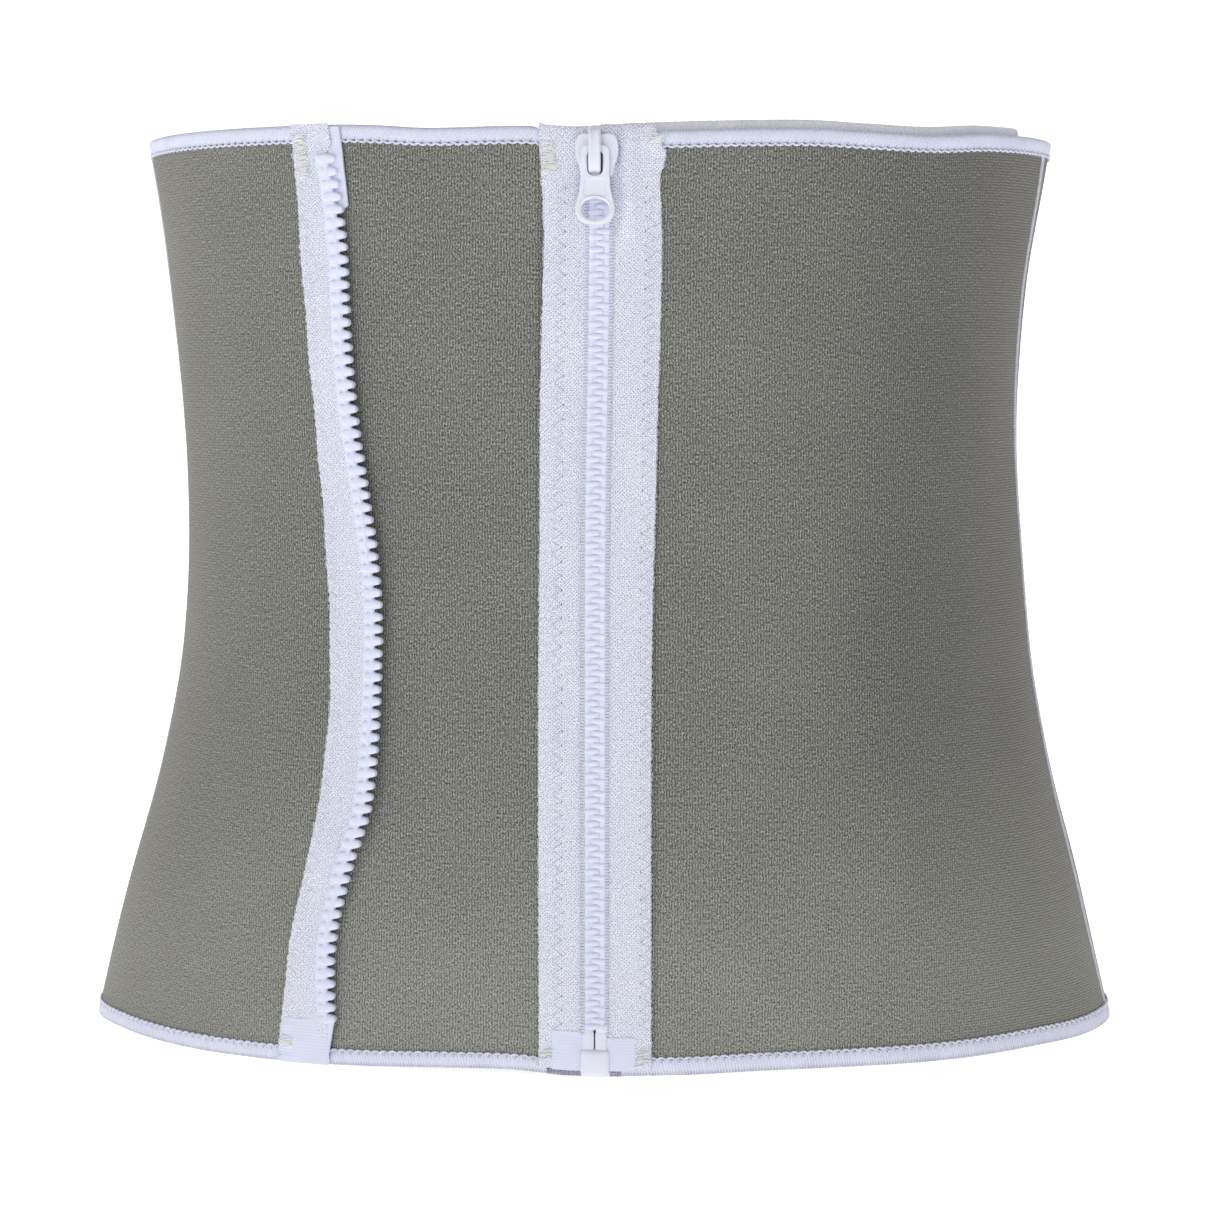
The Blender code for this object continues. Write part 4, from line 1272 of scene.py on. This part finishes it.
def sewn_edge(z):
    """The spare tape's sewn edge, with the scallops of its weft."""
    z_mm = z / MM
    scallop = 0.22 * np.abs(np.sin(math.pi * z_mm / 2.6)) + 0.12 * np.sin(z_mm / 4.7)
    return spare_edge(z) - scallop * MM


def free_edge(z):
    """The spare tape's other edge, under the teeth; it widens over the folded tail."""
    return smooth_through(SPARE_TIPS, z) - np.interp(z / MM, (271.5, 275), (2.9, 0.4)) * MM


def make_spare_tape():
    tape = Piece("spare_woven_tape")
    band(tape, 0.7 * MM, 280.6 * MM, sewn_edge, free_edge, spare_face, TAPE, (0.5 * MM, 0.45 * MM))
    tape.made(TAPE_LOOK, "zip_tape", "left_half", "spare_tape")


def make_spare_spine():
    """The moulded strip that carries the spare teeth."""
    cord = Piece("spare_spine")
    heights = np.linspace(14 * MM, SPARE_BOTTOM + (TEETH_COUNT - 1) * TOOTH_PITCH + 1 * MM, 700)
    across, share = rounded(0, 1, 1 / 8, 0.12)

    def place(z, s):
        x = free_edge(z) + (-3.4 + 4.1 * s) * MM
        face = spare_face(x, z, 0.75 + 0.3 * s)
        rib = 0.16 * MM * np.abs(np.cos(math.pi * (z - SPARE_BOTTOM) / TOOTH_PITCH)) ** 2
        return front_angle(x, z), z, face + 0.95 * MM + rib * np.sin(math.pi * s) ** 0.5

    sheet(cord, heights, across, share, place, 1.8 * MM)
    cord.made(TOOTH, "teeth", "left_half")


def make_spare_teeth():
    teeth = Piece("spare_moulded_teeth")
    profile = (
        (0.0, 0.9, 0.6), (0.1, 1.35, 0.9), (0.45, 1.66, 1.0), (0.6, 1.48, 1.0), (0.75, 1.28, 1.0),
        (0.88, 1.1, 0.97), (0.94, 0.96, 0.92), (0.985, 0.68, 0.78), (1.0, 0.36, 0.6),
    )
    for k in range(TEETH_COUNT):
        z = SPARE_BOTTOM + k * TOOTH_PITCH
        lift = float(spare_lift(z))
        tip = float(smooth_through(SPARE_TIPS, z))
        wobble = rng.normal(0, 0.06) * MM
        tooth(
            teeth, tip - 5.2 * MM, tip + wobble, z + wobble, TOOTH_MIDDLE + 0.3 * MM + lift, profile,
            2.3 * MM, 0.62,
        )
    teeth.made(TOOTH, "teeth", "left_half", "spare_teeth")


def make_spare_film():
    film = Piece("spare_end_film")

    def film_far(z):
        return free_edge(z) + np.interp(z / MM, (0.5, 5, 14), (-0.6, 0.3, 2.3)) * MM

    band(
        film, 0.5 * MM, 14.2 * MM, lambda z: sewn_edge(z) + 1.0 * MM, film_far,
        lambda x, z, s: spare_face(x, z, np.clip(s, 0, 1)) + 0.2 * MM, 1.2 * MM,
        (0.5 * MM, 0.4 * MM), 0.25 * MM,
    )
    film.made(FILM, "film", "left_half", "spare_film", "spare_pin")


def make_spare_tail():
    """The tape's own tail, folded back behind the top teeth."""
    tail = Piece("spare_folded_tail")

    def tail_far(z):
        return np.interp(z / MM, (255.4, 257.2, 270, 282), (-76.4, -73.8, -75.1, -76.6)) * MM

    band(
        tail, 256.0 * MM, 279.6 * MM, lambda z: free_edge(z) - 3 * MM, tail_far,
        lambda x, z, s: TAPE_FACE + 0.35 * MM + 0.15 * MM * np.sin(z / MM / 3) + 0.7 * over_top(z) * MM,
        0.9 * MM, (1.0 * MM, 0.5 * MM),
    )
    tail.made(FILM, "zip_tape", "left_half")


def make_spare_sewing():
    """The zigzag along the spare tape, its bar tacks and the weft that frays from its sewn edge."""
    stitches = Piece("spare_stitching")

    def lifted(x, z):
        return spare_face(x, z, 0.2) + 0.1 * MM

    zigzag(
        stitches, lambda z: spare_edge(z) + 3.4 * MM, lambda z: spare_edge(z) + 0.5 * MM, 12 * MM, 272 * MM,
        4.4 * MM, lifted,
    )
    stitches.made(TWIST, "thread", "left_half")

    tacks = Piece("spare_bar_tacks")
    bar_tack(tacks, spare_edge(267 * MM) / MM + 3.0, 265, 278.5, 4.2, lifted, 0.44, -0.12)
    bar_tack(tacks, spare_edge(7 * MM) / MM + 2.6, 4.8, 9.2, 3.6, lifted, 0.6)
    tacks.made(CREAM, "thread", "left_half")

    fray = Piece("spare_frayed_weft")
    fringe(fray, sewn_edge, 3 * MM, 280 * MM, lambda x, z: spare_face(x, z, 0.0), -1)
    fray.made(TWIST, "zip_tape", "left_half")


# ---------------------------------------------------------------- the back's stays


def make_casings():
    """Each stay runs in a channel of jersey, stitched down along both sides."""
    edge, stitched, channel = 7.1 * MM, 5.8 * MM, 4.3 * MM  # distances from a casing's middle
    for number in range(1, 5):
        low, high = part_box(f"stay_casing_{number}")
        middle = (low.x + high.x) / 2
        piece = Piece(f"casing_jersey_{number}")
        heights = np.linspace(low.z, high.z, 121)
        across, share = rounded(-edge, edge, 0.7 * MM, 0.25 * MM)

        def place(z, x):
            dome = 1.35 * MM / (1 + np.exp((np.abs(x) - channel) / (0.35 * MM)))
            return back_angle(middle + x, z), z, -NEOPRENE - 0.25 * MM - dome

        sheet(piece, heights, across, share, place, 0.55 * MM)
        z = np.arange(low.z + 1 * MM, high.z - 1 * MM, 0.5 * MM)
        dip = 0.2 * MM * np.abs(np.cos(math.pi * (z - low.z) / (3 * MM))) ** 4
        for line in (-stitched, stitched):
            angle = back_angle(middle + line, z)
            piece.tube(on_belt(angle, z, -NEOPRENE - 0.85 * MM + dip), 0.16 * MM, 5)
        piece.made(LINING, "casing", "left_half", f"stay_casing_{number}")
        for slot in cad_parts[f"stay_{number}"].material_slots:
            slot.material = STEEL


# ---------------------------------------------------------------- studio


def make_studio():
    """A pale floor that curves up into a backdrop, soft lights and the camera."""
    depths = np.array((-3.5, 1.2, 1.7, 2.1, 2.4, 2.5, 2.5))
    rises = np.array((0, 0, 0.06, 0.25, 0.62, 1.1, 4.0))
    fine = np.linspace(0, len(depths) - 1, 40)
    y, z = np.interp(fine, range(7), depths), np.interp(fine, range(7), rises)
    points = [(x, a, b - 0.0006) for a, b in zip(y, z) for x in (-5, 5)]
    faces = [(2 * i, 2 * i + 1, 2 * i + 3, 2 * i + 2) for i in range(len(y) - 1)]
    mesh = bpy.data.meshes.new("studio_floor")
    mesh.from_pydata(points, [], faces)
    mesh.shade_smooth()
    paper = bpy.data.materials.new("studio_paper")
    paper.use_nodes = True
    shader = paper.node_tree.nodes["Principled BSDF"]
    shader.inputs["Base Color"].default_value = (0.93, 0.93, 0.93, 1)
    shader.inputs["Roughness"].default_value = 0.9
    shader.inputs["Specular IOR Level"].default_value = 0.1
    shader.inputs["Emission Color"].default_value = (1, 1, 1, 1)
    shader.inputs["Emission Strength"].default_value = 0.77
    mesh.materials.append(paper)
    placed("studio_floor", mesh)

    # the same paper goes on to all sides and turns up far away
    marks = (-16, -14, 14, 16)
    points = [(a, b, 1.6 * (abs(a) > 15 or abs(b) > 15) - 0.001) for b in marks for a in marks]
    faces = [(i, i + 1, i + 5, i + 4) for i in range(11) if i % 4 < 3]
    mesh = bpy.data.meshes.new("studio_ground")
    mesh.from_pydata(points, [], faces)
    mesh.materials.append(paper)
    placed("studio_ground", mesh)

    world = bpy.data.worlds.new("studio")
    bpy.context.scene.world = world
    world.use_nodes = True
    background = world.node_tree.nodes["Background"]
    background.inputs["Color"].default_value = (1, 1, 1, 1)
    background.inputs["Strength"].default_value = 0.2

    def light(name, place, size, power):
        data = bpy.data.lights.new(name, "AREA")
        data.shape = "RECTANGLE"
        data.size, data.size_y = size
        data.energy = power
        obj = placed(name, data)
        obj.location = place
        aim = Vector((0, 0, 0.14))
        obj.rotation_euler = (aim - obj.location).to_track_quat("-Z", "Y").to_euler()

    light("key_light", (-0.75, -1.5, 1.25), (0.9, 0.9), 9.3)
    light("fill_light", (1.0, -1.4, 0.7), (0.9, 0.9), 1.2)
    light("left_rim_light", (-1.35, 0.35, 0.5), (0.5, 1.2), 1.4)
    light("right_rim_light", (1.35, 0.35, 0.5), (0.5, 1.2), 0.4)

    camera = bpy.data.cameras.new("camera")
    camera.lens = 81.55
    camera.sensor_width = 36
    eye = placed("camera", camera)
    eye.location = (0.0167, BELT_Y - 0.901, 0.2070)
    pitch, yaw = math.radians(4.63), math.radians(0.994)
    eye.rotation_euler = (math.pi / 2 - pitch, 0, yaw)
    bpy.context.scene.camera = eye
    bpy.context.scene.view_settings.view_transform = "Standard"


make_panels()
make_edgings()
make_seams()
make_guard()
make_zip_tapes()
make_films()
make_centre_teeth()
make_zip_bottom()
make_slider_shell()
make_slider_slot_shade()
make_slider_bridge()
make_pull()
make_spare_tape()
make_spare_spine()
make_spare_teeth()
make_spare_film()
make_spare_tail()
make_spare_sewing()
make_casings()
make_studio()
